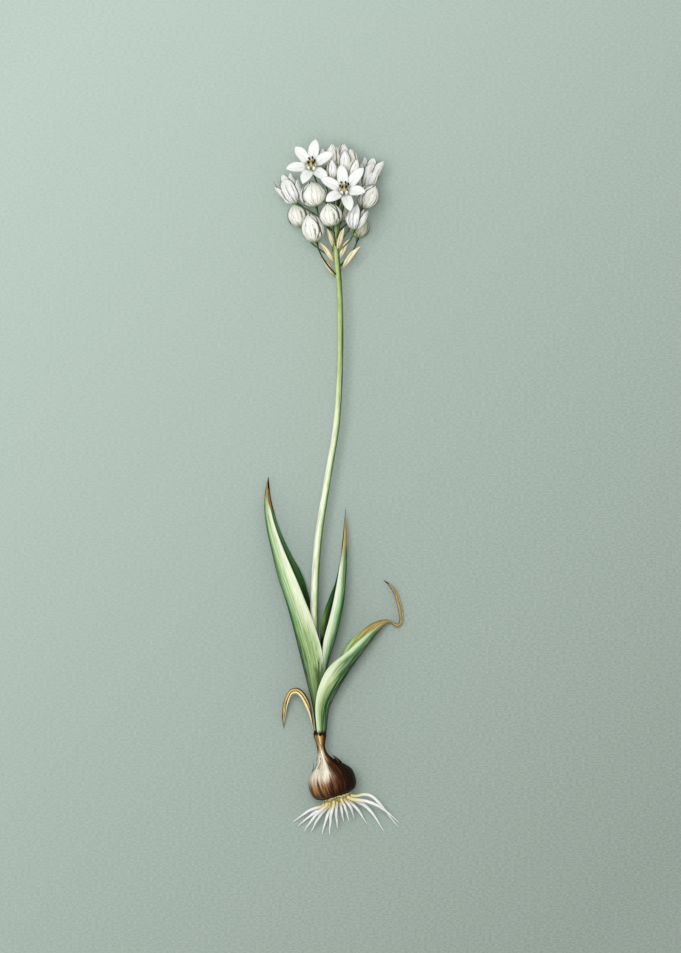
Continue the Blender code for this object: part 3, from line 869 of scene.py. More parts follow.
    def blend(self, base: Input, colour: Input, mask: Input) -> Socket:
        """Lays a colour over another through a mask.

        Args:
            base: the socket or hex code below.
            colour: the socket or hex code above.
            mask: where the upper one shows.

        Returns:
            The mixed colour.
        """
        node = self.tree.nodes.new("ShaderNodeMix")
        node.data_type = "RGBA"
        self.join(mask, node.inputs["Factor"])
        self.join(base, node.inputs[self.MIX_BASE])
        self.join(colour, node.inputs[self.MIX_COLOUR])
        return node.outputs[self.MIX_RESULT]

    def done(self, colour: Socket, relief: Input, depth: float) -> bpy.types.Material:
        """Joins the colour and a relief to the shader.

        Args:
            colour: the base colour.
            relief: the height that the bump reads.
            depth: how many millimetres a height of 1 stands for.

        Returns:
            The material.
        """
        self.join(colour, self.shader.inputs["Base Color"])
        bump = self.tree.nodes.new("ShaderNodeBump")
        bump.inputs["Strength"].default_value = 1.0
        bump.inputs["Distance"].default_value = depth * MM
        self.join(relief, bump.inputs["Height"])
        self.join(bump.outputs[0], self.shader.inputs["Normal"])
        return self.material


@dataclass(frozen=True)
class PetalFinish:
    """White petals: faint grey veins, grey margins, painted shade, and painted grey-green shade at the base.
    """

    white: str = "F7F8F5"
    shade: str = "858B7A"
    vein: str = "9DA09A"
    warm: str = "F4EEE0"

    def make(self) -> bpy.types.Material:
        """Paints white, warm blushes, veins, grey margins, and painted shade: grey-green at the base, grey on
        the dark side.

        Returns:
            The material.
        """
        f = Finish("white petal", 0.55)
        blush = f.fibres(0.5, 0.2, 0.45, 0.7)
        colour = f.blend(self.white, self.warm, f.both(blush, 0.4))
        veins = f.effect(Effect.LINES, place=f.across, count=6.0, width=0.3, waver=0.6, unbroken=0.52)
        low = f.fade(f.along, 0.8, 0.1, 0.3)
        colour = f.blend(colour, self.vein, f.both(veins, low, 0.4))
        middle = f.edge(0.1, 0.0)
        colour = f.blend(colour, self.vein, f.both(middle, f.fade(f.along, 0.6, 0.3, 0.2), 0.6))
        # Painted grey-green shade at the base, round the stamens.
        base = f.fade(f.along, 0.25, 0.05, 0.15)
        colour = f.blend(colour, self.shade, f.both(base, 0.9))
        # Painted shade on the dark side.
        colour = f.blend(colour, self.shade, f.both(f.step(f.shade, 0.05, 0.8), 0.4))
        colour = f.blend(colour, self.shade, f.both(f.edge(0.86, 1.0), 0.5))
        return f.done(colour, f.either(f.both(veins, 0.6), f.both(middle, 0.4)), -0.06)


@dataclass(frozen=True)
class TepalFinish:
    """Cream-white petals of a closed flower: grey stripes, painted shade and seam shadows, and a grey-green
    base.

    The last field is how strongly painted shade darkens the parts that stand steeply.
    """

    name: str = "bud petal"
    cream: str = "FFFFF8"
    # The stripe colour also paints the deepest shade, and the seam colour paints the ribs, the painted shadow
    # along the seams and the painted shade on steep parts.
    stripe_and_shade: str = "57533A"
    shadow_and_rib: str = "1E1B12"
    shade: str = "C4C19C"
    green: str = "7F8C5A"
    blush: str = "FFF4EC"
    tint: str = "F8F8E4"
    steep_shade: float = 0.8

    def make(self) -> bpy.types.Material:
        """Paints cream, painted shade with denser hatching in it, ribs, painted seam shadows and a green base.

        Returns:
            The material.
        """
        f = Finish(self.name, 0.55)
        colour = f.blend(self.cream, self.blush, f.both(f.fibres(0.5, 0.1, 0.5, 0.7), 0.5))
        colour = f.blend(colour, self.tint, f.both(f.fibres(0.7, 0.1, 0.48, 0.62), 0.5))
        outside = f.math("SUBTRACT", 1.0, f.both(f.inner, 0.8))
        # Painted shade on the side turned away from the light and towards the base, but not on the inner side.
        turned = f.both(f.step(f.sway(f.shade, 0.5), 0.1, 0.95), outside)
        low = f.both(f.fade(f.along, 0.66, 0.0, 0.5), outside)
        colour = f.blend(colour, self.shade, f.both(f.either(turned, f.both(low, 0.35)), 0.5))
        # Deeper painted shade on the darkest side.
        deep = f.both(f.step(f.sway(f.shade, 0.5), 0.5, 1.0), outside)
        colour = f.blend(colour, self.stripe_and_shade, f.both(deep, 0.3))
        hatch = f.fibres(1.7, 0.11, 0.545, 0.585)
        # The hatching is denser where the painted shade falls.
        strength = f.either(f.both(low, 0.85), f.either(turned, 0.2))
        colour = f.blend(colour, self.stripe_and_shade, f.both(hatch, strength, 0.95))
        lines = f.effect(Effect.LINES, place=f.across, count=3.0, width=0.24, waver=0.9, unbroken=0.58)
        colour = f.blend(colour, self.shadow_and_rib, f.both(lines, f.step(f.along, 0.98, 0.6), 0.85))
        # Painted shadow along the margins, where the petals overlap.
        colour = f.blend(colour, self.shadow_and_rib, f.both(f.edge(0.8, 0.93), 0.9))
        base = f.fade(f.along, 0.3, 0.02, 0.15)
        colour = f.blend(colour, self.green, f.both(base, 0.8))
        colour = f.blend(colour, self.shadow_and_rib, f.both(f.step(f.along, 0.06, 0.0), 0.7))
        # Painted shade on the parts that stand steeply.
        colour = f.blend(colour, self.shadow_and_rib, f.both(f.step(f.steep, 0.74, 0.97), f.both(outside, self.steep_shade)))
        relief = f.math("SUBTRACT", 1.0, f.either(f.both(lines, 0.7), f.both(hatch, 0.3)))
        return f.done(colour, relief, 0.12)


# Copies of the bud finish: the young buds at the top and the opening flowers get lighter painted shade, and
# the buds that stand behind are painted darker all over, as in shade.
YOUNG_BUDS = TepalFinish(
    "young bud petal", cream="FFFFFF", stripe_and_shade="8A866C", shadow_and_rib="6E6A52", shade="E8E6D2", steep_shade=0.25,
)
OPENING_PETALS = TepalFinish(
    "opening petal", cream="FFFFFF", stripe_and_shade="66624A", shadow_and_rib="2E2A1E", shade="DDDBC2", steep_shade=0.5,
)
SHADED_BUDS = TepalFinish(
    "shaded bud petal", cream="D6D8BC", stripe_and_shade="454228", shadow_and_rib="1A1810", shade="84865C", tint="C9CCA6",
)


@dataclass(frozen=True)
class StalkFinish:
    """Green stalks of the single flowers, with painted shade on the right and a painted highlight on the left.
    """

    green: str = "3A5C2E"
    # pale also paints the highlight on the left, and dark the shade on the right.
    pale: str = "A9C080"
    dark: str = "0D1C0A"

    def make(self) -> bpy.types.Material:
        """Paints green with pale streaks, painted shade on the right and a painted highlight on the left.

        Returns:
            The material.
        """
        f = Finish("flower stalk", 0.5)
        streaks = f.fibres(2.0, 0.2, 0.4, 0.65)
        colour = f.blend(self.green, self.pale, f.both(streaks, 0.35))
        # Painted shade on the right and a painted highlight on the left.
        colour = f.blend(colour, self.dark, f.step(f.across, -0.3, 0.7))
        colour = f.blend(colour, self.pale, f.both(f.step(f.across, -0.45, -0.95), 0.6))
        return f.done(colour, streaks, 0.03)


@dataclass(frozen=True)
class ScapeFinish:
    """The tall stalk: yellow-green above, a painted highlight nearly white on its left near the leaves,
    painted shade on its right.
    """

    # Each row of bands runs from the left side to the right: a painted highlight left of the middle and
    # painted shade on the right.
    upper: Bands = field(default_factory=lambda: {
        -1.0: "A3BA68", -0.75: "D2E296", -0.4: "C2D684", 0.0: "A6C068", 0.3: "7E9E4C", 0.6: "48682E",
        0.85: "284420", 1.0: "1A2E12"})
    lower: Bands = field(default_factory=lambda: {
        -1.0: "D2DFBA", -0.85: "FCFFF0", -0.25: "FAFFE2", 0.1: "E9F4C6", 0.38: "C6DA98", 0.6: "86A864",
        0.8: "42643A", 1.0: "203A1A"})

    def make(self) -> bpy.types.Material:
        """Paints the bands of both parts with their painted highlight and shade, fine lines along them, and
        painted shade at the top.

        Returns:
            The material.
        """
        f = Finish("scape", 0.5, 0.16)
        side = f.sway(f.across, 0.5)
        low = f.fade(f.along, 0.74, 0.5, 0.1)
        colour = f.blend(f.bands(side, self.upper), f.bands(side, self.lower), low)
        lines = f.fibres(3.0, 0.12, 0.52, 0.6)
        colour = f.blend(colour, self.upper[0.6], f.both(lines, 0.3))
        colour = f.blend(colour, self.lower[-0.25], f.both(f.fibres(5.0, 0.08, 0.54, 0.6), 0.3))
        # Painted shade at the top, under the flowers and between the bracts.
        top = f.fade(f.along, 0.925, 0.96, 0.02)
        colour = f.blend(colour, self.upper[1.0], f.both(top, f.fibres(1.0, 0.06, 0.42, 0.54), 0.9))
        return f.done(colour, lines, 0.05)


@dataclass(frozen=True)
class LeafFinish:
    """Fleshy leaf with a dry tip.

    outside holds the bands of its outer side, from the pale front margin to the dark keel: its greens, with a
    painted highlight near the margin and painted shade towards the keel. The bands low hold up to the share
    grassy of its length, and the bands high past about a third of it. inside holds the bands along its inner
    side, which is painted in shade on the keel's side of deep_from. Its foot is painted in shade up to the
    share foot. Up to the share tucked, its front margin is painted with the shadow of another leaf. pleats is
    how close the painted shade of the pleats of its front lies in the bands low, or 0 for none.
    """

    name: str
    outside: Bands
    inside: Bands
    low: Bands | None = None
    high: Bands | None = None
    grassy: float = 0.3
    pleats: float = 0.0
    foot: float = 0.1
    tucked: float = 0.0
    deep_from: float = 0.6
    # Of the colours below, the first paints shade and dark streaks, the third the shade in the pleats, and the
    # fourth the shadow of a neighbouring leaf; all of this shade is painted.
    dark: str = "0A200A"
    deep: str = "1C5A1C"
    pleat_shade: str = "648040"
    shadow: str = "21460F"
    light: str = "F0F5D6"
    strands: Bands = field(default_factory=lambda: {
        -1.0: "5A3C14", -0.84: "F8E6A0", -0.62: "E0B452", -0.46: "6E4A1A", -0.3: "FFF4BE", 0.0: "D2A246",
        0.3: "FFEFA8", 0.5: "8E6424", 0.66: "FBE694", 0.86: "DDB04E", 1.0: "3A240E"})
    straw: str = "FBF0B8"
    brown: str = "2E1C0A"

    def _outer(self, f: Finish) -> Socket:
        """Paints the outer side: its bands, streaks along them, painted shade in its pleats and where it
        stands steeply, and a neighbour's painted shadow.

        Args:
            f: the material in the making.

        Returns:
            The colour.
        """
        side = f.sway(f.across, 0.2)
        colour = f.bands(side, self.outside)
        if self.low:
            low = f.fade(f.along, self.grassy + 0.16, self.grassy - 0.02, 0.2)
            colour = f.blend(colour, f.bands(side, self.low), low)
            # Painted shade in the pleats of the front.
            if self.pleats:
                lines = f.effect(
                    Effect.LINES, place=side, count=self.pleats, width=0.7, waver=0.9, unbroken=0.8,
                )
                front = f.both(f.step(side, -0.92, -0.84), f.step(side, -0.6, -0.67))
                colour = f.blend(colour, self.pleat_shade, f.both(lines, front, low, 0.6))
        if self.high:
            colour = f.blend(colour, f.bands(side, self.high), f.fade(f.along, 0.24, 0.42, 0.15))
        streaks = f.fibres(2.4, 0.045, 0.5, 0.57)
        green = f.step(side, -0.95, -0.5)
        colour = f.blend(colour, self.deep, f.both(streaks, f.either(f.both(green, 0.48), 0.1)))
        colour = f.blend(colour, self.deep, f.both(f.fibres(0.5, 0.03, 0.52, 0.62), f.both(green, 0.48)))
        colour = f.blend(colour, self.light, f.both(f.fibres(2.9, 0.07, 0.53, 0.62), 0.28))
        # The painted shadow of a neighbouring leaf on the front margin.
        if self.tucked:
            low = f.fade(f.along, self.tucked, self.tucked - 0.06, 0.2)
            front = f.fade(f.across, -0.71, -0.8, 0.2)
            colour = f.blend(colour, self.shadow, f.both(low, front, 0.85))
        # Painted shade where the leaf stands steeply, as along its keel.
        return f.blend(colour, self.dark, f.both(f.step(f.steep, 0.5, 0.95), 0.75))

    def _inner(self, f: Finish) -> Socket:
        """Paints the inner side: its bands, dark streaks, and painted shade deep in the channel.

        Args:
            f: the material in the making.

        Returns:
            The colour.
        """
        colour = f.bands(f.sway(f.along, 0.12), self.inside, 0.0)
        colour = f.blend(colour, self.dark, f.both(f.fibres(1.6, 0.06, 0.46, 0.58), 0.5))
        # Painted shade deep in the channel, on the keel's side.
        deep = f.fade(f.across, self.deep_from, self.deep_from - 0.16, 0.15)
        return f.blend(colour, self.dark, f.both(deep, 0.92))

    def _dry_tip(self, f: Finish) -> Socket:
        """Paints the dry tip: straw-coloured strands with brown creases, gaps and margins, and painted shade
        where it stands steeply.

        Args:
            f: the material in the making.

        Returns:
            The colour.
        """
        dry = f.bands(f.sway(f.across, 0.3), self.strands)
        dry = f.blend(dry, self.straw, f.both(f.fibres(2.0, 0.06, 0.5, 0.58), 0.6))
        creases = f.effect(Effect.LINES, place=f.across, count=6.0, width=0.34, waver=0.8, unbroken=0.75)
        dry = f.blend(dry, self.brown, f.both(creases, 0.75))
        dry = f.blend(dry, self.brown, f.both(f.fibres(2.0, 0.06, 0.53, 0.58), 0.75))
        dry = f.blend(dry, self.brown, f.both(f.edge(0.78, 0.96), 0.6))
        # Painted shade where the dry tip stands steeply.
        return f.blend(dry, self.brown, f.both(f.step(f.steep, 0.5, 1.0), 0.65))

    def make(self) -> bpy.types.Material:
        """Paints both sides, painted shade on the foot, the dry tip and its dark point.

        Returns:
            The material.
        """
        f = Finish(self.name, 0.55, 0.1)
        colour = f.blend(self._outer(f), self._inner(f), f.inner)
        # Painted shade on the foot.
        colour = f.blend(colour, self.dark, f.both(f.fade(f.along, self.foot, 0.0, 0.05), 0.9))
        colour = f.blend(colour, self._dry_tip(f), f.step(f.dry, 0.05, 0.5))
        colour = f.blend(colour, self.brown, f.step(f.dry, 0.93, 1.0))
        return f.done(colour, f.fibres(3.0, 0.03, 0.35, 0.65), -0.12)


# In each leaf's bands, the pale front margin holds a painted highlight, and the keel, the channel and the foot
# hold painted shade.
LEAF_LEFT = LeafFinish(
    "left leaf",
    outside={
        -1.0: "C6DAA4", -0.94: "FCFFE8", -0.84: "F9FFDE", -0.76: "E2F2C2", -0.69: "C8E2A8", -0.62: "D6EEBA",
        -0.5: "A8D090", -0.36: "78A66C", -0.24: "386436", -0.1: "163412"},
    inside={0.0: "060D05", 0.3: "0C180A", 0.45: "16300F", 0.55: "284E24", 0.68: "44723E", 0.85: "6A9460"},
    low={
        -1.0: "EEF8D8", -0.94: "B0C88E", -0.66: "94B268", -0.58: "B0D08A", -0.42: "82A25E", -0.32: "365A2C",
        -0.1: "0C280A"},
    grassy=0.34, pleats=26.0, foot=0.26, tucked=0.285, deep_from=0.86,
)
LEAF_MIDDLE = LeafFinish(
    "middle leaf",
    outside={
        -1.0: "E0F0C4", -0.94: "FCFFEE", -0.84: "EEFCDA", -0.76: "D2EEBE", -0.66: "98C488", -0.57: "66985E",
        -0.45: "3C7242", -0.3: "245028", 0.0: "183C1C"},
    inside={
        0.0: "030602", 0.41: "060E05", 0.45: "5A7E2C", 0.5: "82AA4A", 0.56: "4E7E36", 0.63: "2C5E28",
        0.8: "285624", 0.9: "4A7A40"},
    foot=0.1, deep_from=0.98,
)
LEAF_RIGHT = LeafFinish(
    "right leaf",
    outside={
        -1.0: "E2F2C6", -0.93: "F8FFDE", -0.76: "F4FFCE", -0.67: "DEF2B2", -0.58: "AED486", -0.49: "62984A",
        -0.4: "2E6428", -0.27: "143E10", 0.1: "0A260A"},
    inside={0.0: "0F1F0D", 0.26: "40692E", 0.33: "A6CC7A", 0.45: "BEE096", 0.52: "C4D27C", 0.6: "D4B85C"},
    low={
        -1.0: "E8F6CE", -0.82: "C8E0A0", -0.73: "84A656", -0.66: "789C50", -0.5: "28561E", -0.25: "0E380E"},
    high={
        -1.0: "D8EABA", -0.94: "EEFED4", -0.87: "DCF6BE", -0.79: "92BC82", -0.7: "5C8C54", -0.6: "326034",
        -0.4: "1A421C", 0.0: "0C2C0E"},
    grassy=0.1, foot=0.02, deep_from=0.62,
)


@dataclass(frozen=True)
class WitheredFinish:
    """Dry ochre leaf with painted cream highlights, brown strands and painted shade on its dark side."""

    sides: Bands = field(default_factory=lambda: {
        -1.0: "5E4016", -0.8: "DCB85A", -0.5: "FFF6CC", -0.1: "EACB74", 0.2: "FFF2BE", 0.6: "D4AC56",
        1.0: "4E3210"})
    brown: str = "301C0A"
    olive: str = "6F7A34"

    def make(self) -> bpy.types.Material:
        """Paints ochre bands with painted highlights, brown strands, an olive tip and painted shade.

        Returns:
            The material.
        """
        f = Finish("withered leaf", 0.65)
        colour = f.bands(f.sway(f.across, 0.6), self.sides)
        strands = f.fibres(1.7, 0.05, 0.51, 0.56)
        colour = f.blend(colour, self.brown, f.both(strands, 0.92))
        colour = f.blend(colour, self.olive, f.both(f.fade(f.along, 0.8, 1.0, 0.1), 0.7))
        # Painted shade on the dark side.
        colour = f.blend(colour, self.brown, f.both(f.step(f.shade, 0.3, 0.9), 0.5))
        return f.done(colour, strands, -0.15)


@dataclass(frozen=True)
class TunicFinish:
    """Dry skin of the bulb: brown fibres, a painted cream highlight left of the middle, painted shade on the
    right, darker below.
    """

    # Each row of bands runs from the left side to the right, with a painted highlight left of the middle and
    # painted shade on the right.
    body: Bands = field(default_factory=lambda: {
        -1.0: "7A5432", -0.85: "A67C50", -0.5: "AC8052", -0.15: "8A5E32", 0.1: "65401E", 0.35: "3C200E",
        0.6: "220E05", 1.0: "0E0502"})
    neck: Bands = field(default_factory=lambda: {
        -1.0: "6A4620", -0.75: "AA7C44", -0.4: "FAE6C0", -0.05: "FFFCF0", 0.2: "F0D6AC", 0.4: "B4844A",
        0.6: "5A3416", 0.8: "2C1608", 1.0: "180A04"})
    top: Bands = field(default_factory=lambda: {
        -1.0: "4A2E10", -0.7: "B48A48", -0.3: "FBE8B4", 0.0: "ECCA88", 0.3: "BA8844", 0.6: "5A3614",
        1.0: "180A04"})
    # cream paints the highlight; dark paints the threads, the darker base, the dry ends and the painted shade.
    cream: str = "FFF4DC"
    brown: str = "5F3218"
    dark: str = "1A0C05"

    def make(self) -> bpy.types.Material:
        """Paints the bands of body, neck and top, the painted highlight, fibres, a darker base and painted
        shade.

        Returns:
            The material.
        """
        f = Finish("bulb skin", 0.5, 0.08)
        colour = f.bands(f.sway(f.across, 0.5), self.body)
        neck = f.fade(f.along, 0.5, 0.66, 0.12)
        colour = f.blend(colour, f.bands(f.sway(f.across, 0.7), self.neck), neck)
        colour = f.blend(colour, f.bands(f.sway(f.across, 0.9), self.top), f.fade(f.along, 0.72, 0.82, 0.08))
        # A painted cream highlight left of the middle, in which fewer fibres show.
        light = f.both(f.fade(f.along, 0.18, 0.38, 0.3), f.fade(f.across, 0.24, -0.12, 0.6))
        light = f.both(light, f.fade(f.across, -1.15, -0.85, 0.2))
        light = f.both(light, f.fade(f.along, 0.78, 0.64, 0.1))
        calm = f.math("SUBTRACT", 1.0, f.both(light, 0.75))
        colour = f.blend(colour, self.cream, f.both(light, f.fibres(0.8, 0.03, 0.28, 0.46)))
        colour = f.blend(colour, self.brown, f.both(f.fibres(1.3, 0.05, 0.53, 0.59), calm, 0.7))
        colour = f.blend(colour, self.dark, f.both(f.fade(f.along, 0.2, 0.02, 0.1), 0.7))
        threads = f.fibres(2.4, 0.07, 0.53, 0.58)
        colour = f.blend(colour, self.dark, f.both(threads, f.either(calm, 0.15), 0.75))
        # Painted shade on the dark side and where the skin stands steeply.
        colour = f.blend(colour, self.dark, f.both(f.step(f.sway(f.shade, 0.4), 0.2, 0.85), 0.8))
        colour = f.blend(colour, self.dark, f.both(f.step(f.steep, 0.75, 1.0), 0.5))
        colour = f.blend(colour, self.dark, f.step(f.dry, 0.2, 0.9))
        return f.done(colour, f.math("SUBTRACT", 1.0, threads), 0.14)


@dataclass(frozen=True)
class RootFinish:
    """Cream-white roots, yellower at the plate, with faint painted shade."""

    white: str = "FFFFFF"
    yellow: str = "F0DF9A"
    shade: str = "B5AD8E"

    def make(self) -> bpy.types.Material:
        """Paints white that yellows towards the plate, with faint streaks and faint painted shade.

        Returns:
            The material.
        """
        f = Finish("root", 0.6)
        streaks = f.fibres(2.2, 0.2, 0.5, 0.66)
        colour = f.blend(self.white, self.yellow, f.fade(f.along, 0.34, 0.02, 0.2))
        colour = f.blend(colour, self.shade, f.both(streaks, 0.15))
        # Faint painted shade on the dark side.
        colour = f.blend(colour, self.shade, f.both(f.step(f.shade, 0.5, 0.95), 0.1))
        return f.done(colour, streaks, 0.05)


@dataclass(frozen=True)
class PlateFinish:
    """Corky plate under the bulb: straw, with dark pits between the roots."""

    tan: str = "F0E2A4"
    dark: str = "3A2610"

    def make(self) -> bpy.types.Material:
        """Paints straw with dark pits.

        Returns:
            The material.
        """
        f = Finish("basal plate", 0.85)
        crumbs = f.fibres(1.3, 1.3, 0.48, 0.58)
        return f.done(f.blend(self.tan, self.dark, f.both(crumbs, 0.85)), crumbs, -0.3)


@dataclass(frozen=True)
class BractFinish:
    """Thin dry bract: straw and peach, green at the base, with a brown outline that is partly painted shade.
    """

    sides: Bands = field(default_factory=lambda: {
        -1.0: "7A5A2A", -0.88: "F0E4AC", -0.6: "FFFCDC", -0.1: "FFFADC", 0.4: "FFF0C4", 0.7: "FFDEA8",
        0.88: "D69A54", 1.0: "5A3414"})
    brown: str = "6A3C18"
    green: str = "7C8F4A"

    def make(self) -> bpy.types.Material:
        """Paints straw bands, a green base, brown lines, tip and outline, the outline partly as painted shade.

        Returns:
            The material.
        """
        f = Finish("bract", 0.6)
        colour = f.bands(f.sway(f.across, 0.5), self.sides)
        colour = f.blend(colour, self.green, f.both(f.fade(f.along, 0.3, 0.0, 0.2), 0.5))
        lines = f.effect(Effect.LINES, place=f.across, count=2.4, width=0.34, waver=1.0, unbroken=0.66)
        colour = f.blend(colour, self.brown, f.both(lines, 0.45))
        colour = f.blend(colour, self.brown, f.both(f.fibres(1.6, 0.1, 0.54, 0.59), 0.35))
        colour = f.blend(colour, self.brown, f.both(f.fade(f.along, 0.9, 1.0, 0.2), 0.6))
        # Painted shade along the outline, where the bract stands steeply.
        colour = f.blend(colour, self.brown, f.both(f.step(f.steep, 0.8, 0.98), 0.5))
        return f.done(colour, lines, -0.06)


@dataclass(frozen=True)
class PistilFinish:
    """Pale green ovary with a straw style."""

    green: str = "A7B67A"
    pale: str = "F1EFDC"
    gold: str = "D9BE6A"

    def make(self) -> bpy.types.Material:
        """Paints a streaked green ovary and a golden style.

        Returns:
            The material.
        """
        f = Finish("pistil", 0.4, 0.3)
        streaks = f.fibres(2.5, 0.8, 0.4, 0.65)
        colour = f.blend(self.green, self.pale, f.both(streaks, 0.6))
        colour = f.blend(colour, self.gold, f.step(f.along, 0.5, 0.8))
        return f.done(colour, streaks, 0.03)


@dataclass(frozen=True)
class FilamentFinish:
    """Flat white base of a stamen with grey margins, that turns golden towards its anther."""

    white: str = "FBFAF2"
    gold: str = "CFAC5E"
    grey: str = "3C3A2E"

    def make(self) -> bpy.types.Material:
        """Paints white with grey margins and a golden upper part.

        Returns:
            The material.
        """
        f = Finish("filament", 0.5)
        colour = f.blend(self.white, self.grey, f.both(f.edge(0.4, 0.8), 0.9))
        lines = f.effect(Effect.LINES, place=f.across, count=2.0, width=0.3, waver=0.2, unbroken=0.7)
        colour = f.blend(colour, self.grey, f.both(lines, 0.3))
        colour = f.blend(colour, self.gold, f.fade(f.along, 0.36, 0.55, 0.08))
        colour = f.blend(colour, self.grey, f.both(f.edge(0.45, 0.85), f.step(f.along, 0.4, 0.6), 0.7))
        return f.done(colour, lines, -0.03)


@dataclass(frozen=True)
class AntherFinish:
    """Dark brown anther with grains of golden pollen."""

    dark: str = "150C06"
    gold: str = "A87A2C"

    def make(self) -> bpy.types.Material:
        """Paints dark brown with specks of pollen.

        Returns:
            The material.
        """
        f = Finish("anther", 0.6)
        pollen = f.fibres(5.0, 5.0, 0.58, 0.66)
        return f.done(f.blend(self.dark, self.gold, f.both(pollen, 0.6)), pollen, 0.08)


# -------- pieces


@dataclass
class Blade:
    """What leaves, bracts and petals share: a thin blade, lofted through a packed one.

    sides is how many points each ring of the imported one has. margin is the thickness at the margins, as a
    share, and crowd is how much closer the rows stand towards the tip.
    """

    node: str
    sides: int
    rows: int
    columns: int
    thickness: float
    margin: float = 0.3
    crowd: float = 1.25

    def grid(self) -> np.ndarray:
        """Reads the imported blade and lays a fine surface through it.

        Returns:
            Rows of points on the middle surface.
        """
        coarse = Rings.read(self.node, self.sides).blade()
        rows = even(coarse, self.rows, self.crowd)
        across = np.linspace(0, rows.shape[1] - 1, self.columns)
        return smooth(rows.transpose(1, 0, 2), across).transpose(1, 0, 2)

    def depth(self) -> np.ndarray:
        """Works out the thickness: full along the middle, thin at both margins and at the tip.

        Returns:
            The thickness at each point.
        """
        v, u = lattice(self.rows, self.columns)
        rounded = np.sqrt(np.clip(1 - np.abs(u) ** 3.5, 0, 1)) * (1 - self.margin) + self.margin
        return self.thickness * rounded * (1 - 0.6 * ramp(v, 0.7, 1.0))

    @staticmethod
    def inward(grid: np.ndarray) -> np.ndarray:
        """The hollow side of each row: from its middle towards the line between its margins."""
        middle = grid[:, grid.shape[1] // 2]
        return np.repeat(((grid[:, 0] + grid[:, -1]) / 2 - middle)[:, None], grid.shape[1], 1)


@dataclass
class Leaf(Blade):
    """A channelled leaf with a wavy margin.

    It is dry from the share dry_from of its length, and its margin waves by about wave, in millimetres.
    """

    dry_from: float = 0.9
    wave: float = 0.35

    def dryness(self, grid: np.ndarray) -> np.ndarray:
        """Works out how dry the leaf is: not at all up to dry_from of its length, and fully at its tip.

        Args:
            grid: the leaf's rows of points.

        Returns:
            A value from 0 to about 1 for each point.
        """
        v, u = lattice(self.rows, self.columns)
        uneven = 0.05 * wander(u * 2.5, v * 9, self.dry_from * 7)
        early = 0.04 * np.abs(u) ** 3
        gone = travelled(grid.mean(axis=1))
        share = (gone / gone[-1])[:, None]
        return np.clip((share + uneven + early - self.dry_from) / (1 - self.dry_from), 0, 1) * 1.02

    def build(self, finish: bpy.types.Material, slot: Slot) -> bpy.types.Object:
        """Makes the leaf.

        Args:
            finish: its material.
            slot: its slot in the record.

        Returns:
            The leaf.
        """
        grid = self.grid()
        inward = self.inward(grid)
        v, u = lattice(self.rows, self.columns)
        normals = normals_of(grid)
        swell = self.wave * wander(u * 1.3, v * 8, len(self.node) * 1.7) * np.abs(u) ** 1.5
        swell = swell + 0.06 * wander(u * 9, v * 5, 3.1)
        grid = grid + normals * (swell * ramp(v, 0.02, 0.15) * (1 - ramp(v, 0.85, 1.0)))[..., None]
        shape = Shape(f"{self.node}_blade")
        shape.sheet(grid, self.depth(), inward, dry=self.dryness(grid))
        return shape.build(self.node, slot, [finish])


@dataclass
class Petal(Blade):
    """A petal or bract: a shallow channel along its middle and soft ribs beside it.

    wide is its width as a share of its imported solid's, and fuller is how much more it has near its base.
    channel and rib are their depth and height in millimetres. reach is the share of its length that it
    keeps, and below 1 its tip is rounder, from the share round_from.
    """

    channel: float = 0.12
    wide: float = 1.0
    rib: float = 0.035
    reach: float = 1.0
    round_from: float = 0.62
    fuller: float = 0.0

    def build(self, finish: bpy.types.Material, slot: Slot) -> bpy.types.Object:
        """Makes the petal.

        Args:
            finish: its material.
            slot: its slot in the record.

        Returns:
            The petal.
        """
        grid = self.grid()
        v, u = lattice(self.rows, self.columns)
        middle = grid[:, self.columns // 2][:, None]
        width = self.wide * (1 + self.fuller * bell(v, 0.08, 0.2))
        if self.reach < 1:
            kept = np.linspace(0, self.reach * (self.rows - 1), self.rows)
            grid, middle = smooth(grid, kept), smooth(middle, kept)
            tip = np.clip((v - self.round_from) / (1 - self.round_from), 0, 1)
            width = width * np.sqrt(1 - tip**2)
        grid = middle + (grid - middle) * width[..., None]
        inward = self.inward(grid)
        normals = normals_of(grid)
        normals = normals * np.sign((normals * inward).sum())
        height = -self.channel * bell(u, 0, 0.16) + self.rib * np.cos(u * 14)
        height = height + 0.14 * wander(u * 1.2, v * 2.5, seed_of(self.node))
        grid = grid + normals * (height * ramp(v, 0.0, 0.2) * (1 - ramp(v, 0.75, 1.0)))[..., None]
        shape = Shape(f"{self.node}_blade")
        shape.sheet(grid, self.depth(), inward)
        return shape.build(self.node, slot, [finish])


@dataclass
class Scape:
    """The tall leafless flower stalk."""

    node: str = "scape"
    sides: int = 10
    rows: int = 260
    columns: int = 36
    finish: ScapeFinish = ScapeFinish()

    def build(self) -> Pieces:
        """Makes the scape.

        Returns:
            The one piece.
        """
        rings = Rings.read(self.node, self.sides)
        fine = fine_tube(rings.loops, self.rows, self.columns)
        middles = fine.mean(axis=1, keepdims=True)
        angle = circle(self.columns)
        along = np.linspace(0, 1, self.rows)[:, None]
        ribs = 1 + 0.012 * np.cos(angle * 9) + 0.02 * wander(np.cos(angle), np.sin(angle), along * 22)
        shape = Shape("scape_stalk")
        shape.tube(middles + (fine - middles) * ribs[..., None])
        return [shape.build(self.node, Slot.SCAPE, [self.finish.make()])]


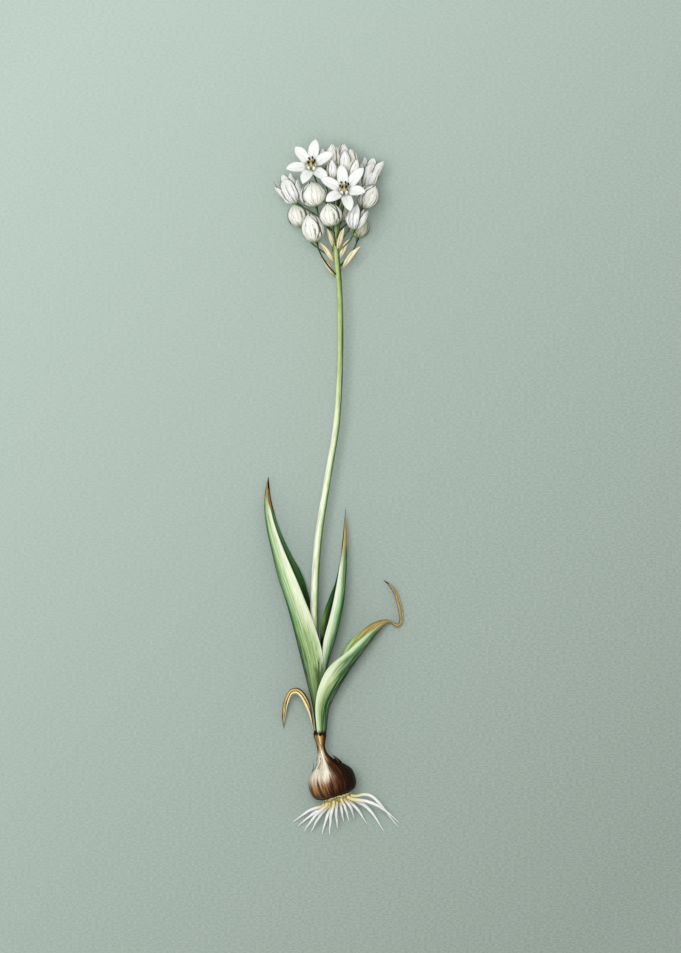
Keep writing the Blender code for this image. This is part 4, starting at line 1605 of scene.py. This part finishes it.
@dataclass
class Stalk:
    """The short stalk of one flower, which widens a little under the flower."""

    rings: np.ndarray
    radius: float = 0.41
    end_radius: float = 0.95
    rows: int = 40
    columns: int = 14

    def add(self, shape: Shape, kind: int) -> None:
        """Adds the stalk to a flower's mesh.

        Args:
            shape: the flower's mesh.
            kind: the stalk's finish.
        """
        fine = fine_tube(self.rings, self.rows, self.columns)
        middles = fine.mean(axis=1, keepdims=True)
        share = np.linspace(0, 1, self.rows)
        radius = self.radius * (1 + 0.25 * bell(share, 0, 0.08))
        radius = radius + (self.end_radius - self.radius) * ramp(share, 0.86, 1.0)
        shape.tube(middles + unit(fine - middles) * radius[:, None, None], kind)


@dataclass
class Tepal:
    """One petal of a bud or half-open flower, wrapped round the flower's axis.

    Its place is turn, in degrees from the side that faces up. It covers spread degrees to each side, but is
    no wider than half each side of its middle line. Its tip is at the share reach of the axis, and out from
    it. A petal of a half-open flower leaves the shared outline at the share leave of its own length, and
    bend is how far its tip curls back. It is widest at the share widest, and blunt is how full its tip is.
    The other lengths are in millimetres.
    """

    turn: float
    spread: float = 62.0
    half: float = 9.0
    inset: float = 0.0
    reach: float = 1.0
    out: float | None = None
    leave: float = 0.5
    bend: float = 0.0
    widest: float = 0.5
    blunt: float = 2.3
    rows: int = 44
    columns: int = 25
    thickness: float = 0.3

    def add(self, shape: Shape, axis: Axis, kind: int) -> None:
        """Adds the petal to a flower's mesh.

        Args:
            shape: the flower's mesh.
            axis: the flower's axis.
            kind: the petal's finish.
        """
        v, u = lattice(self.rows, self.columns)
        share = v * self.reach
        outline = axis.radius(np.clip(share, 0, 1))
        if self.out is not None:
            start = axis.radius(np.array([[min(1.0, self.leave * self.reach)]]))
            gone = np.clip((v - self.leave) / (1 - self.leave), 0, 1)
            free = start + (self.out - start) * gone
            outline = outline + (free - outline) * ramp(v, self.leave - 0.1, self.leave + 0.2)
        narrow = np.clip((v - self.widest) / (1 - self.widest), 0, 1)
        profile = (0.5 + 0.5 * ramp(v, 0.0, 0.4)) * (1 - narrow**self.blunt) ** 0.8
        shrink = self.inset * ramp(v, 0.0, 0.3) * (1 - ramp(v, 0.85, 1.0))
        radius = np.maximum(outline - shrink, 0.12)
        half = np.minimum(np.radians(self.spread) * profile, self.half * profile / radius)
        crown = 0.04 * radius * (1 - u**2) + 0.1 * bell(u, 0, 0.12) * ramp(v, 0.1, 0.4)
        radius = radius + crown * (1 - ramp(v, 0.8, 1.0)) - 0.05
        share = share - self.bend * ramp(v, 0.5, 1.0) ** 1.5 / axis.length
        angle = math.radians(self.turn) + u * half
        grid = axis.wrap(share, angle, radius)
        middle = axis.wrap(share, angle, 0 * radius)
        rounded = 0.4 + 0.6 * np.sqrt(np.clip(1 - np.abs(u) ** 3, 0, 1))
        shape.sheet(grid, self.thickness * rounded * (1 - 0.5 * ramp(v, 0.8, 1.0)), middle - grid, kind)


@dataclass
class Bud:
    """A closed flower on its stalk: three inner petals wrapped in three outer ones.

    turn is where the first outer petal stands, in degrees from the side that faces up, and spread is how far
    an outer petal reaches to each side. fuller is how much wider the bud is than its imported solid. The inner
    petals' spread and length are shares of the outer ones', and they lie deeper by inner_inset.
    """

    node: str
    turn: float = 0.0
    spread: float = 62.0
    fuller: float = 0.0
    inner_spread: float = 0.9
    inner_inset: float = 0.45
    inner_reach: float = 0.985
    tip_radius: float = 0.15
    sides: int = 8
    stalk_rings: int = 7

    def build(self, finishes: list[bpy.types.Material]) -> bpy.types.Object:
        """Makes the bud.

        Args:
            finishes: those of the petals and of the stalk.

        Returns:
            The bud.
        """
        rings = Rings.read(self.node, self.sides)
        body = rings.loops[self.stalk_rings - 1 :]
        middles = body.mean(axis=1)
        radii = np.linalg.norm(body - middles[:, None], axis=2).mean(axis=1) * (1 + self.fuller)
        points = np.concatenate([middles, [rings.tip]])
        axis = Axis(points, np.concatenate([radii, [self.tip_radius]]), UPWARD)
        shape = Shape(f"{self.node}_flower")
        outer = Tepal(self.turn, self.spread)
        narrow = self.inner_spread * self.spread
        inner = Tepal(self.turn, narrow, inset=self.inner_inset, reach=self.inner_reach)
        for k in range(6):
            petal = inner if k % 2 else outer
            replace(petal, turn=self.turn + 60 * k).add(shape, axis, 0)
        Stalk(rings.loops[: self.stalk_rings]).add(shape, 1)
        return shape.build(self.node, Slot.BUD, finishes)


@dataclass
class OpeningFlower:
    """A half-open flower on its stalk: petals whose tips have come apart.

    sag is how far the middle of its stalk bends aside, in millimetres. wall_rings is how many rings of the
    packed cup stand on those of its stalk, and base_radius is the cup's radius on the stalk's end.
    """

    node: str
    petals: tuple[Tepal, ...]
    sag: Place = (0.0, 0.0, 0.0)
    base_radius: float = 0.5
    sides: int = 12
    stalk_rings: int = 7
    wall_rings: int = 5

    def build(self, finishes: list[bpy.types.Material]) -> bpy.types.Object:
        """Makes the flower.

        Args:
            finishes: those of the petals and of the stalk.

        Returns:
            The flower.
        """
        rings = Rings.read(self.node, self.sides)
        first = self.stalk_rings
        wall = rings.loops[first : first + self.wall_rings]
        base = rings.loops[first - 1].mean(axis=0)
        forward = unit(wall[1].mean(axis=0) - base)
        heights = (wall[-1] - base) @ forward
        lobed = wall[:, 0 if heights[::2].mean() > heights[1::2].mean() else 1 :: 2]
        along = ((lobed - base) @ forward).mean(axis=1)
        middles = base + along[:, None] * forward
        radii = np.linalg.norm(lobed - middles[:, None], axis=2).mean(axis=1)
        radii = np.concatenate([[self.base_radius], radii])
        axis = Axis(np.concatenate([[base], middles]), radii, UPWARD)
        shape = Shape(f"{self.node}_flower")
        for petal in self.petals:
            petal.add(shape, axis, 0)
        bow = np.sin(np.linspace(0, math.pi, self.stalk_rings))[:, None, None] * np.array(self.sag)
        Stalk(rings.loops[: self.stalk_rings] + bow).add(shape, 1)
        return shape.build(self.node, Slot.BUD, finishes)


@dataclass
class OpenFlower:
    """The ovary, stamens and petals of an open flower.

    lean is how far the column of ovary and stamens leans up, in degrees. The ovary and its style have the
    radii ovary_radii at ovary_heights along that column. The stamens reach height, and stand foot from it at
    their base and spread from it at their tip. count is how many stamens and how many petals there are, and
    short is the number of the petal that is shorter, or 0.
    """

    name: str
    short: int = 0
    lean: float = 16.0
    ovary_heights: tuple[float, ...] = (-0.9, -0.3, 0.1, 0.8, 1.6, 2.4, 3.0, 3.4, 4.0, 4.6, 4.8)
    ovary_radii: tuple[float, ...] = (0.8, 1.5, 1.2, 1.45, 1.4, 1.05, 0.55, 0.32, 0.28, 0.32, 0.45)
    height: float = 4.7
    foot: float = 2.35
    spread: float = 1.9
    anther: float = 1.7
    sides: int = 8
    stalk_rings: int = 7
    count: int = 6

    def column(self) -> tuple[Rings, np.ndarray, np.ndarray]:
        """Reads where the flower stands.

        Returns:
            The rings of its stalk and ovary, its centre and the direction of its column.
        """
        rings = Rings.read(f"{self.name}_pistil", self.sides)
        centre = rings.loops.mean(axis=1)[self.stalk_rings + 3]
        facing = unit(rings.tip - centre)
        angle = math.radians(self.lean)
        level = unit(np.array(TO_FLOWERS) - facing * facing[1])
        return rings, centre, facing * math.cos(angle) + level * math.sin(angle)

    def build_pistil(self, finishes: list[bpy.types.Material]) -> bpy.types.Object:
        """Makes the ovary with its style, on the flower's stalk.

        Args:
            finishes: those of the ovary and of the stalk.

        Returns:
            The piece.
        """
        rings, centre, forward = self.column()
        shape = Shape(f"{self.name}_ovary")
        heights = np.array(self.ovary_heights)
        axis = Axis(centre + heights[:, None] * forward, np.array(self.ovary_radii), TO_FLOWERS)
        share = np.linspace(0, 1, 60)[:, None]
        turn = circle(24)
        lobed = 1 + 0.12 * np.cos(3 * turn) * bell(share, 0.42, 0.2)
        shape.tube(axis.wrap(share, turn, axis.radius(share) * lobed))
        Stalk(rings.loops[: self.stalk_rings], end_radius=0.8).add(shape, 1)
        return shape.build(f"{self.name}_pistil", Slot.PISTIL, finishes)

    def build_stamens(self, finishes: list[bpy.types.Material]) -> bpy.types.Object:
        """Makes the six stamens round the ovary.

        Args:
            finishes: those of the filaments and of the anthers.

        Returns:
            The piece.
        """
        _, centre, forward = self.column()
        shape = Shape(f"{self.name}_filaments")
        v, u = lattice(28, 9)
        seed = seed_of(self.name)
        waist = 0.5 * self.foot
        for k in range(self.count):
            uneven = [float(wander(k * 1.7, seed, n * 5.3)) for n in range(3)]
            height = self.height * (1 + 0.22 * uneven[0])
            axis = Axis(centre + np.linspace(0.1, height, 4)[:, None] * forward, np.ones(4), TO_FLOWERS)
            turn = math.radians(60 * k + 30 + 22 * uneven[1])
            end = self.spread * (1 + 0.5 * uneven[2])
            radius = self.foot - (self.foot - waist) * ramp(v, 0.22, 0.62) + (end - waist) * ramp(v, 0.6, 1.0)
            half = 1.2 * (1 - ramp(v, 0.26, 0.5)) + 0.17 - 0.25 * (1 - ramp(v, 0.0, 0.12))
            angle = turn + u * half / radius
            grid = axis.wrap(v, angle, radius)
            middle = axis.wrap(v, angle, 0 * radius)
            shape.sheet(grid, 0.3 * (0.5 + 0.5 * np.sqrt(1 - u**4)), middle - grid, 0)
            spoke = unit(grid[-1, 4] - middle[-1, 4])
            pull = 0.35 + 0.9 * uneven[1] + 0.4 * uneven[0]
            self._anther(shape, grid[-1, 4], unit(forward + pull * np.cross(forward, spoke)), spoke)
        return shape.build(f"{self.name}_stamens", Slot.STAMENS, finishes)

    def _anther(self, shape: Shape, tip: np.ndarray, along: np.ndarray, outward: np.ndarray) -> None:
        """Adds one anther, two lobes joined along their middle.

        Args:
            shape: the stamens' mesh.
            tip: the end of its filament.
            along: its length's direction.
            outward: the direction away from the flower's column.
        """
        share = np.linspace(-1, 1, 16)[:, None]
        angle = circle(16)
        outline = 0.5 * np.sqrt(np.clip(1 - share**4, 0.02, 1)) * (1 + 0.16 * np.cos(2 * angle))
        sideways = np.cross(along, outward)
        centre = tip + along * (share * self.anther / 2 + 0.25)[..., None]
        high = outward * (np.cos(angle) * outline * 0.8)[..., None]
        wide = sideways * (np.sin(angle) * outline)[..., None]
        shape.tube(centre + (high + wide), 1)

    def build_petals(self, finish: bpy.types.Material) -> Pieces:
        """Makes the petals.

        Args:
            finish: their material.

        Returns:
            The petals, in the order of their numbers.
        """
        made = []
        for number in range(1, self.count + 1):
            reach = 0.9 if number == self.short else 1.0
            petal = Petal(
                f"{self.name}_petal_{number}", sides=8, rows=56, columns=31, thickness=0.34,
                reach=reach, fuller=0.6,
            )
            made.append(petal.build(finish, Slot.PETAL))
        return made


@dataclass
class Scrap:
    """A torn piece of the bulb's dry skin.

    turn is where its middle is and half its half angle, in degrees. It runs from the share low of the bulb's
    axis to the share high, where its end is torn by ragged and as dry as dry_end. It lies lift above the
    skin, and its end stands curl further off.
    """

    turn: float
    half: float
    low: float
    high: float
    lift: float = 0.2
    ragged: float = 0.04
    curl: float = 0.0
    dry_end: float = 0.9
    rows: int = 50
    columns: int = 31
    thickness: float = 0.14

    def add(self, shape: Shape, axis: Axis) -> None:
        """Adds the scrap to the bulb's mesh.

        Args:
            shape: the bulb's mesh.
            axis: the bulb's axis.
        """
        v, u = lattice(self.rows, self.columns)
        seed = self.turn / 7 + self.low * 31
        tears = wander(u * self.half / 12, 0 * u, seed) + 0.7 * wander(u * self.half / 4, 0 * u, seed + 40)
        end = self.high + self.ragged * tears
        share = self.low + (end - self.low) * v
        narrow = 1 - 0.75 * ramp(v, 0.4, 1.0) if self.curl else 1 + 0 * v
        angle = np.radians(self.turn + u * self.half * narrow * (1 + 0.06 * wander(v * 6, 0 * v, seed + 80)))
        radius = axis.radius(np.clip(share, 0, 1)) + self.lift * (0.2 + 0.8 * ramp(v, 0.05, 0.6)) - 0.3
        radius = radius + 0.06 * wander(u * self.half / 9, v * 2, seed) + self.curl * v**3
        grid = axis.wrap(share, angle, radius)
        middle = axis.wrap(share, angle, 0 * radius)
        dry = np.clip(self.dry_end * ramp(v, 0.72, 0.96) + 0 * u, 0, 1)
        side = unit(grid - middle)[..., 0]
        thickness = np.full(grid.shape[:2], self.thickness)
        shape.sheet(grid, thickness, middle - grid, 0, dry, (share + 0 * side, side))


@dataclass
class Splinter:
    """A stiff dry splinter of the bulb's skin.

    It starts on the skin, turn degrees from the side that faces up and at the share of the bulb's axis, and
    reaches as far as reach. It is thick at its base. The lengths are in millimetres.
    """

    turn: float
    share: float
    reach: Place
    thick: float
    rows: int = 20
    columns: int = 10

    def add(self, shape: Shape, axis: Axis) -> None:
        """Adds the splinter to the bulb's mesh.

        Args:
            shape: the bulb's mesh.
            axis: the bulb's axis.
        """
        share = np.full((1, 1), self.share)
        start = axis.wrap(share, np.full((1, 1), math.radians(self.turn)), axis.radius(share) - 0.8)[0, 0]
        v = np.linspace(0, 1, self.rows)[:, None]
        reach = np.array(self.reach)
        sideways = unit(np.cross(reach, UPWARD))
        middles = start + v * reach * 1.2 + sideways * 0.35 * np.sin(2.4 * v)
        upward = unit(np.cross(sideways, reach))
        angle = circle(self.columns)[..., None]
        size = (self.thick * (1 - 0.94 * v**1.4) / 2)[..., None]
        rings = middles[:, None] + size * (np.cos(angle) * sideways + 0.6 * np.sin(angle) * upward)
        shape.tube(rings, 0, np.full(self.rows, 0.75))


@dataclass
class Bulb:
    """The bulb in its dry skin, with torn scraps on its shoulders and a torn collar round its neck.

    Each of its dents is a layer of unevenness: its height, how fine it is round and along the bulb, and
    where its pattern starts.
    """

    node: str = "bulb"
    sides: int = 20
    rows: int = 190
    columns: int = 200
    girth: float = 6.0
    dents: tuple[tuple[float, float, float, float], ...] = (
        (0.18, 1.4, 2.2, 0.0),
        (0.1, 7.0, 1.6, 5.0),
        (0.05, 19.0, 2.0, 9.0),
    )
    scraps: tuple[Scrap, ...] = (
        Scrap(74, 10, 0.40, 0.58, 0.1, 0.03, 0.7, 1.0),
        Scrap(60, 9, 0.44, 0.60, 0.15, 0.03, 0.5, 0.8),
        Scrap(-84, 7, 0.44, 0.66, 0.15, 0.02, 0.9, 0.6),
        Scrap(-62, 5, 0.46, 0.68, 0.15, 0.02, 0.7, 0.7),
        Scrap(-30, 6, 0.48, 0.66, 0.15, 0.03, 0.4, 0.8),
        Scrap(150, 30, 0.3, 0.6, 0.2, 0.06),
        Scrap(-150, 24, 0.34, 0.57, 0.2, 0.05),
    )
    collar: int = 11
    splinters: tuple[Splinter, ...] = (
        Splinter(78, 0.47, (-4.0, 3.4, 0.9), 1.7),
        Splinter(60, 0.46, (-2.6, 3.4, 1.6), 0.8),
        Splinter(-84, 0.44, (0.6, 5.4, 0.3), 0.5),
        Splinter(-76, 0.46, (1.6, 4.8, 0.8), 0.42),
        Splinter(-50, 0.48, (1.4, 4.0, 1.0), 0.36),
    )
    finish: TunicFinish = TunicFinish()

    def build(self) -> Pieces:
        """Makes the bulb.

        Returns:
            The one piece.
        """
        rings = Rings.read(self.node, self.sides)
        fine = fine_tube(rings.loops, self.rows, self.columns)
        middles = fine.mean(axis=1, keepdims=True)
        spokes = fine - middles
        share = np.linspace(0, 1, self.rows)[:, None]
        angle = circle(self.columns)
        radius = np.linalg.norm(spokes, axis=2)
        relief = np.zeros((1, 1))
        for height, fine_round, fine_along, start in self.dents:
            places = (np.cos(angle) * fine_round, np.sin(angle) * fine_round, share * fine_along + start)
            relief = relief + height * wander(*places)
        shape = Shape("bulb_skin")
        dry = ramp(share[:, 0], 0.95, 1.0) * 0.8
        shape.tube(middles + unit(spokes) * (radius + relief - 0.3)[..., None], 0, dry, self.girth)
        axis = Axis(middles[::6, 0], radius.mean(axis=1)[::6], UPWARD)
        for scrap in self.scraps:
            scrap.add(shape, axis)
        for k in range(self.collar):
            turn = 360 / self.collar * k + 9
            high = 1.02 + 0.018 * (k * 5 % 4)
            lift = 0.3 + 0.12 * (k % 2)
            Scrap(turn, 20, 0.86, high, lift, 0.05, 0.0, 1.0).add(shape, axis)
        for splinter in self.splinters:
            splinter.add(shape, axis)
        return [shape.build(self.node, Slot.TUNIC, [self.finish.make()])]


@dataclass
class Roots:
    """The bare roots, which sway by about sway millimetres."""

    count: int = 14
    sides: int = 8
    rows: int = 70
    columns: int = 14
    sway: float = 0.22
    finish: RootFinish = RootFinish()

    def build(self) -> Pieces:
        """Makes the roots.

        Returns:
            The roots, in the order of their numbers.
        """
        finish = self.finish.make()
        share = np.linspace(0, 1, self.rows)[:, None, None]
        calm = ramp(share, 0.0, 0.2) * (1 - ramp(share, 0.8, 1.0))
        taper = (1.2 + 0.5 * bell(share, 0.45, 0.35)) * np.sqrt(1 - 0.93 * share**5)
        made = []
        for number in range(1, self.count + 1):
            node = f"root_{number:02d}"
            rings = Rings.read(node, self.sides, upward=False)
            fine = fine_tube(rings.loops, self.rows, self.columns)
            drift = np.concatenate([wander(share * 5, number * 1.9, k * 9.0) for k in range(3)], -1)
            middles = fine.mean(axis=1, keepdims=True)
            knots = 1 + 0.1 * wander(share * 12, number * 2.3, 0.0)
            shape = Shape(f"{node}_fibre")
            shape.tube(middles + drift * self.sway * calm + (fine - middles) * knots * taper)
            made.append(shape.build(node, Slot.ROOT, [finish]))
        return made


@dataclass
class BasalPlate:
    """The corky plate that the roots grow from."""

    node: str = "basal_plate"
    sides: int = 12
    rows: int = 14
    columns: int = 90
    finish: PlateFinish = PlateFinish()

    def build(self) -> Pieces:
        """Makes the plate.

        Returns:
            The one piece.
        """
        rings = Rings.read(self.node, self.sides)
        fine = fine_tube(rings.loops, self.rows, self.columns)
        middles = fine.mean(axis=1, keepdims=True)
        angle = circle(self.columns)
        share = np.linspace(0, 1, self.rows)[:, None]
        rough = 0.96 + 0.05 * wander(np.cos(angle) * 6, np.sin(angle) * 6, share * 2)
        shape = Shape("basal_plate_cork")
        shape.tube(middles + (fine - middles) * rough[..., None])
        return [shape.build(self.node, Slot.PLATE, [self.finish.make()])]


# -------- surroundings


@dataclass
class Studio:
    """A plain pale floor, painted shade on it, soft light from the upper left, and a camera looking straight
    down.

    The lengths are in metres. The camera hangs at distance over centre, and its view is view_height high.
    """

    distance: float = 14.0
    view_height: float = 0.4765
    sensor_width: float = 36.0
    centre: tuple[float, float] = (0.00349, 0.00536)
    lamp_place: Place = (-0.34, 0.25, 2.4)
    lamp_size: float = 1.1
    lamp_power: float = 36.0
    surroundings: str = "FAFCFC"
    surroundings_strength: float = 0.52
    floor_size: float = 60.0
    floor_gap: float = 0.0002
    # The floor's painted shade runs from light at the upper left to dim towards the lower right.
    light: str = "B5C6BC"
    dim: str = "8B998F"
    painted_shade_towards: Place = (0.9, -0.82, 0.0)
    laid_grain: Place = (620.0, 1500.0, 0.0)

    def floor(self) -> None:
        """Makes the floor of pale sage paper with a fine laid grain, and painted shade to the lower right."""
        height = CAD_BOX[0].z - self.floor_gap
        bpy.ops.mesh.primitive_plane_add(size=self.floor_size, location=(0, 0, height))
        plane = bpy.context.object
        plane.name = "floor"
        f = Finish("sage paper", 0.9)
        place = f.tree.nodes.new("ShaderNodeNewGeometry").outputs["Position"]
        # Painted shade: darker towards the lower right.
        slope = f.tree.nodes.new("ShaderNodeVectorMath")
        slope.operation = "DOT_PRODUCT"
        slope.inputs[1].default_value = self.painted_shade_towards
        f.tree.links.new(place, slope.inputs[0])
        shade = f.tree.nodes.new("ShaderNodeMapRange")
        for socket, value in zip(shade.inputs, (slope.outputs["Value"], -0.3, 0.3)):
            f.join(value, socket)
        colour = f.blend(self.light, self.dim, shade.outputs[0])
        laid = f.tree.nodes.new("ShaderNodeVectorMath")
        laid.operation = "MULTIPLY"
        laid.inputs[1].default_value = self.laid_grain
        f.tree.links.new(place, laid.inputs[0])
        grain = f.tree.nodes.new("ShaderNodeTexNoise")
        grain.inputs["Scale"].default_value = 1.0
        f.tree.links.new(laid.outputs[0], grain.inputs["Vector"])
        speck = f.step(grain.outputs[0], 0.35, 0.65)
        colour = f.blend(colour, "FFFFFF", f.both(speck, 0.09))
        plane.data.materials.append(f.done(colour, speck, 0.02))

    def lamp(self) -> None:
        """Hangs the one soft lamp and points it at the plant."""
        data = bpy.data.lights.new("key", "AREA")
        data.size = self.lamp_size
        data.energy = self.lamp_power
        lamp = bpy.data.objects.new("key", data)
        lamp.location = self.lamp_place
        lamp.rotation_euler = (-Vector(self.lamp_place)).to_track_quat("-Z", "Y").to_euler()
        bpy.context.scene.collection.objects.link(lamp)

    def world(self) -> None:
        """Lights everything evenly."""
        world = bpy.data.worlds.new("soft surroundings")
        bpy.context.scene.world = world
        world.use_nodes = True
        background = world.node_tree.nodes["Background"]
        background.inputs["Color"].default_value = srgb(self.surroundings)
        background.inputs["Strength"].default_value = self.surroundings_strength

    def camera(self) -> None:
        """Hangs the camera over the plant, so far up that the view is nearly parallel."""
        data = bpy.data.cameras.new("overhead")
        data.sensor_width = self.sensor_width
        data.lens = self.sensor_width * self.distance / self.view_height
        data.clip_end = 100.0
        camera = bpy.data.objects.new("overhead", data)
        camera.location = (*self.centre, self.distance)
        bpy.context.scene.collection.objects.link(camera)
        bpy.context.scene.camera = camera

    def build(self) -> None:
        """Makes all of it."""
        self.floor()
        self.world()
        self.lamp()
        self.camera()
        bpy.context.scene.view_settings.view_transform = "Standard"


# -------- the plant


@dataclass
class Leaves:
    """The three green leaves and the withered one at the neck."""

    sides: int = 12
    thickness: float = 0.5
    withered_thickness: float = 0.4

    def build(self) -> Pieces:
        """Makes the leaves.

        Returns:
            The four leaves.
        """
        left = Leaf("leaf_left", self.sides, 200, 45, self.thickness, dry_from=0.87)
        middle = Leaf("leaf_middle", self.sides, 200, 41, self.thickness, dry_from=0.76)
        right = Leaf("leaf_right", self.sides, 240, 45, self.thickness, dry_from=0.52)
        # The withered leaf's own finish is dry all over, so it needs no dry tip.
        withered = Leaf("leaf_withered", self.sides, 120, 21, self.withered_thickness, dry_from=1.5)
        return [
            left.build(LEAF_LEFT.make(), Slot.LEAF),
            middle.build(LEAF_MIDDLE.make(), Slot.LEAF),
            right.build(LEAF_RIGHT.make(), Slot.LEAF),
            withered.build(WitheredFinish().make(), Slot.WITHERED),
        ]


@dataclass
class Bracts:
    """The dry bracts under the flowers' stalks."""

    count: int = 6
    finish: BractFinish = BractFinish()

    def build(self) -> Pieces:
        """Makes the bracts.

        Returns:
            The bracts, in the order of their numbers.
        """
        finish = self.finish.make()
        made = []
        for number in range(1, self.count + 1):
            bract = Petal(
                f"bract_{number}", sides=8, rows=60, columns=15, thickness=0.3, channel=0.05, wide=1.3,
            )
            made.append(bract.build(finish, Slot.BRACT))
        return made


@dataclass
class FlowerHead:
    """The closed buds, the half-open flowers and the open ones.

    The full buds are nearly ready to open, the shaded ones stand behind them and are painted darker as in
    shade, and the young ones are at the top, with lighter painted shade.
    """

    full_buds: tuple[Bud, ...] = (
        Bud("bud_lower_left", turn=-24, fuller=0.05),
        Bud("bud_outer_left", turn=-14, fuller=0.2),
        Bud("bud_broad", turn=6, spread=64, fuller=0.07),
        Bud("bud_lower_middle", turn=-15, fuller=0.04),
        Bud("bud_right", turn=20, spread=52, fuller=0.04),
    )
    shaded_buds: tuple[Bud, ...] = (
        Bud("bud_back_middle", turn=25),
        Bud("bud_back_right", turn=20),
    )
    young_buds: tuple[Bud, ...] = (
        Bud("bud_top_front", turn=10),
        Bud("bud_top_left", turn=-25),
        Bud("bud_top_middle", turn=5),
        Bud("bud_top_back", turn=30),
        Bud("bud_top_right", turn=-15),
        Bud("bud_side_right", turn=20),
        Bud("bud_side_left", turn=0),
    )
    opening: tuple[OpeningFlower, ...] = (
        OpeningFlower("flower_opening_left", sag=(5.2, 4.5, -2.0), petals=(
            Tepal(178, 60, 2.5, inset=0.5, reach=1.2, out=4.8, leave=0.35, widest=0.65, blunt=3.2),
            Tepal(128, 60, 2.9, inset=0.5, reach=1.14, out=5.2, leave=0.35, widest=0.65, blunt=3.2),
            Tepal(-112, 50, 2.4, inset=0.4, reach=1.14, out=5.4, leave=0.3, widest=0.65, blunt=3.2),
            Tepal(-62, 50, 3.0, reach=0.92, out=6.8, leave=0.2, widest=0.6, blunt=3.2),
            Tepal(62, 56, 3.6, reach=0.82, out=6.8, leave=0.3, widest=0.6, blunt=3.2),
            Tepal(-4, 62, 4.1, inset=-0.2, out=3.2, leave=0.6, widest=0.64, blunt=3.0),
        )),
        OpeningFlower("flower_opening_right", petals=(
            Tepal(172, 60, 3.0, inset=0.5, reach=1.04, out=4.2, leave=0.4, widest=0.65, blunt=3.2),
            Tepal(-135, 50, 2.5, inset=0.4, reach=1.02, out=5.2, leave=0.4, widest=0.65, blunt=3.2),
            Tepal(46, 60, 3.4, inset=0.2, reach=1.2, out=8.0, leave=0.25, bend=3.0, widest=0.7, blunt=3.2),
            Tepal(-64, 50, 3.0, reach=0.84, out=5.0, leave=0.4, widest=0.6, blunt=3.2),
            Tepal(14, 62, 4.4, inset=-0.15, reach=0.86, out=3.0, leave=0.6, widest=0.62, blunt=3.0),
        )),
        OpeningFlower("flower_opening_low", petals=(
            Tepal(180, 50, 2.4, inset=0.5, reach=0.9, out=3.4),
            Tepal(-130, 50, 2.4, inset=0.5, reach=0.85, out=3.6),
            Tepal(130, 50, 2.4, inset=0.5, reach=0.8, out=4.2),
            Tepal(-58, 52, 3.2, inset=0.1, reach=0.72, out=4.0),
            Tepal(56, 58, 3.4, inset=0.1, reach=0.84, out=6.4, leave=0.4),
            Tepal(-10, 46, 2.9, inset=-0.2, reach=0.98, out=2.4, leave=0.6),
        )),
    )
    open_flowers: tuple[OpenFlower, ...] = (
        OpenFlower("flower_left", short=3),
        OpenFlower("flower_right"),
    )

    def build(self) -> Pieces:
        """Makes the buds and the flowers.

        Returns:
            The pieces, buds first and open flowers last.
        """
        stalk = StalkFinish().make()
        closed = (
            (self.full_buds, TepalFinish()),
            (self.shaded_buds, SHADED_BUDS),
            (self.young_buds, YOUNG_BUDS),
            (self.opening, OPENING_PETALS),
        )
        made = []
        for flowers, finish in closed:
            petals = finish.make()
            made += [flower.build([petals, stalk]) for flower in flowers]
        ovary, petal = PistilFinish().make(), PetalFinish().make()
        stamens = [FilamentFinish().make(), AntherFinish().make()]
        for flower in self.open_flowers:
            made += [flower.build_pistil([ovary, stalk]), flower.build_stamens(stamens)]
            made += flower.build_petals(petal)
        return made


def main() -> None:
    """Builds the studio and the plant, and reports each piece."""
    logging.basicConfig(level=logging.INFO, format="%(name)s: %(message)s")
    Studio().build()
    for part in (Leaves(), Scape(), Bulb(), BasalPlate(), Roots(), Bracts(), FlowerHead()):
        for piece in part.build():
            LOG.info("%s: %d faces", piece.name, len(piece.data.polygons))


if __name__ == "__main__":
    main()
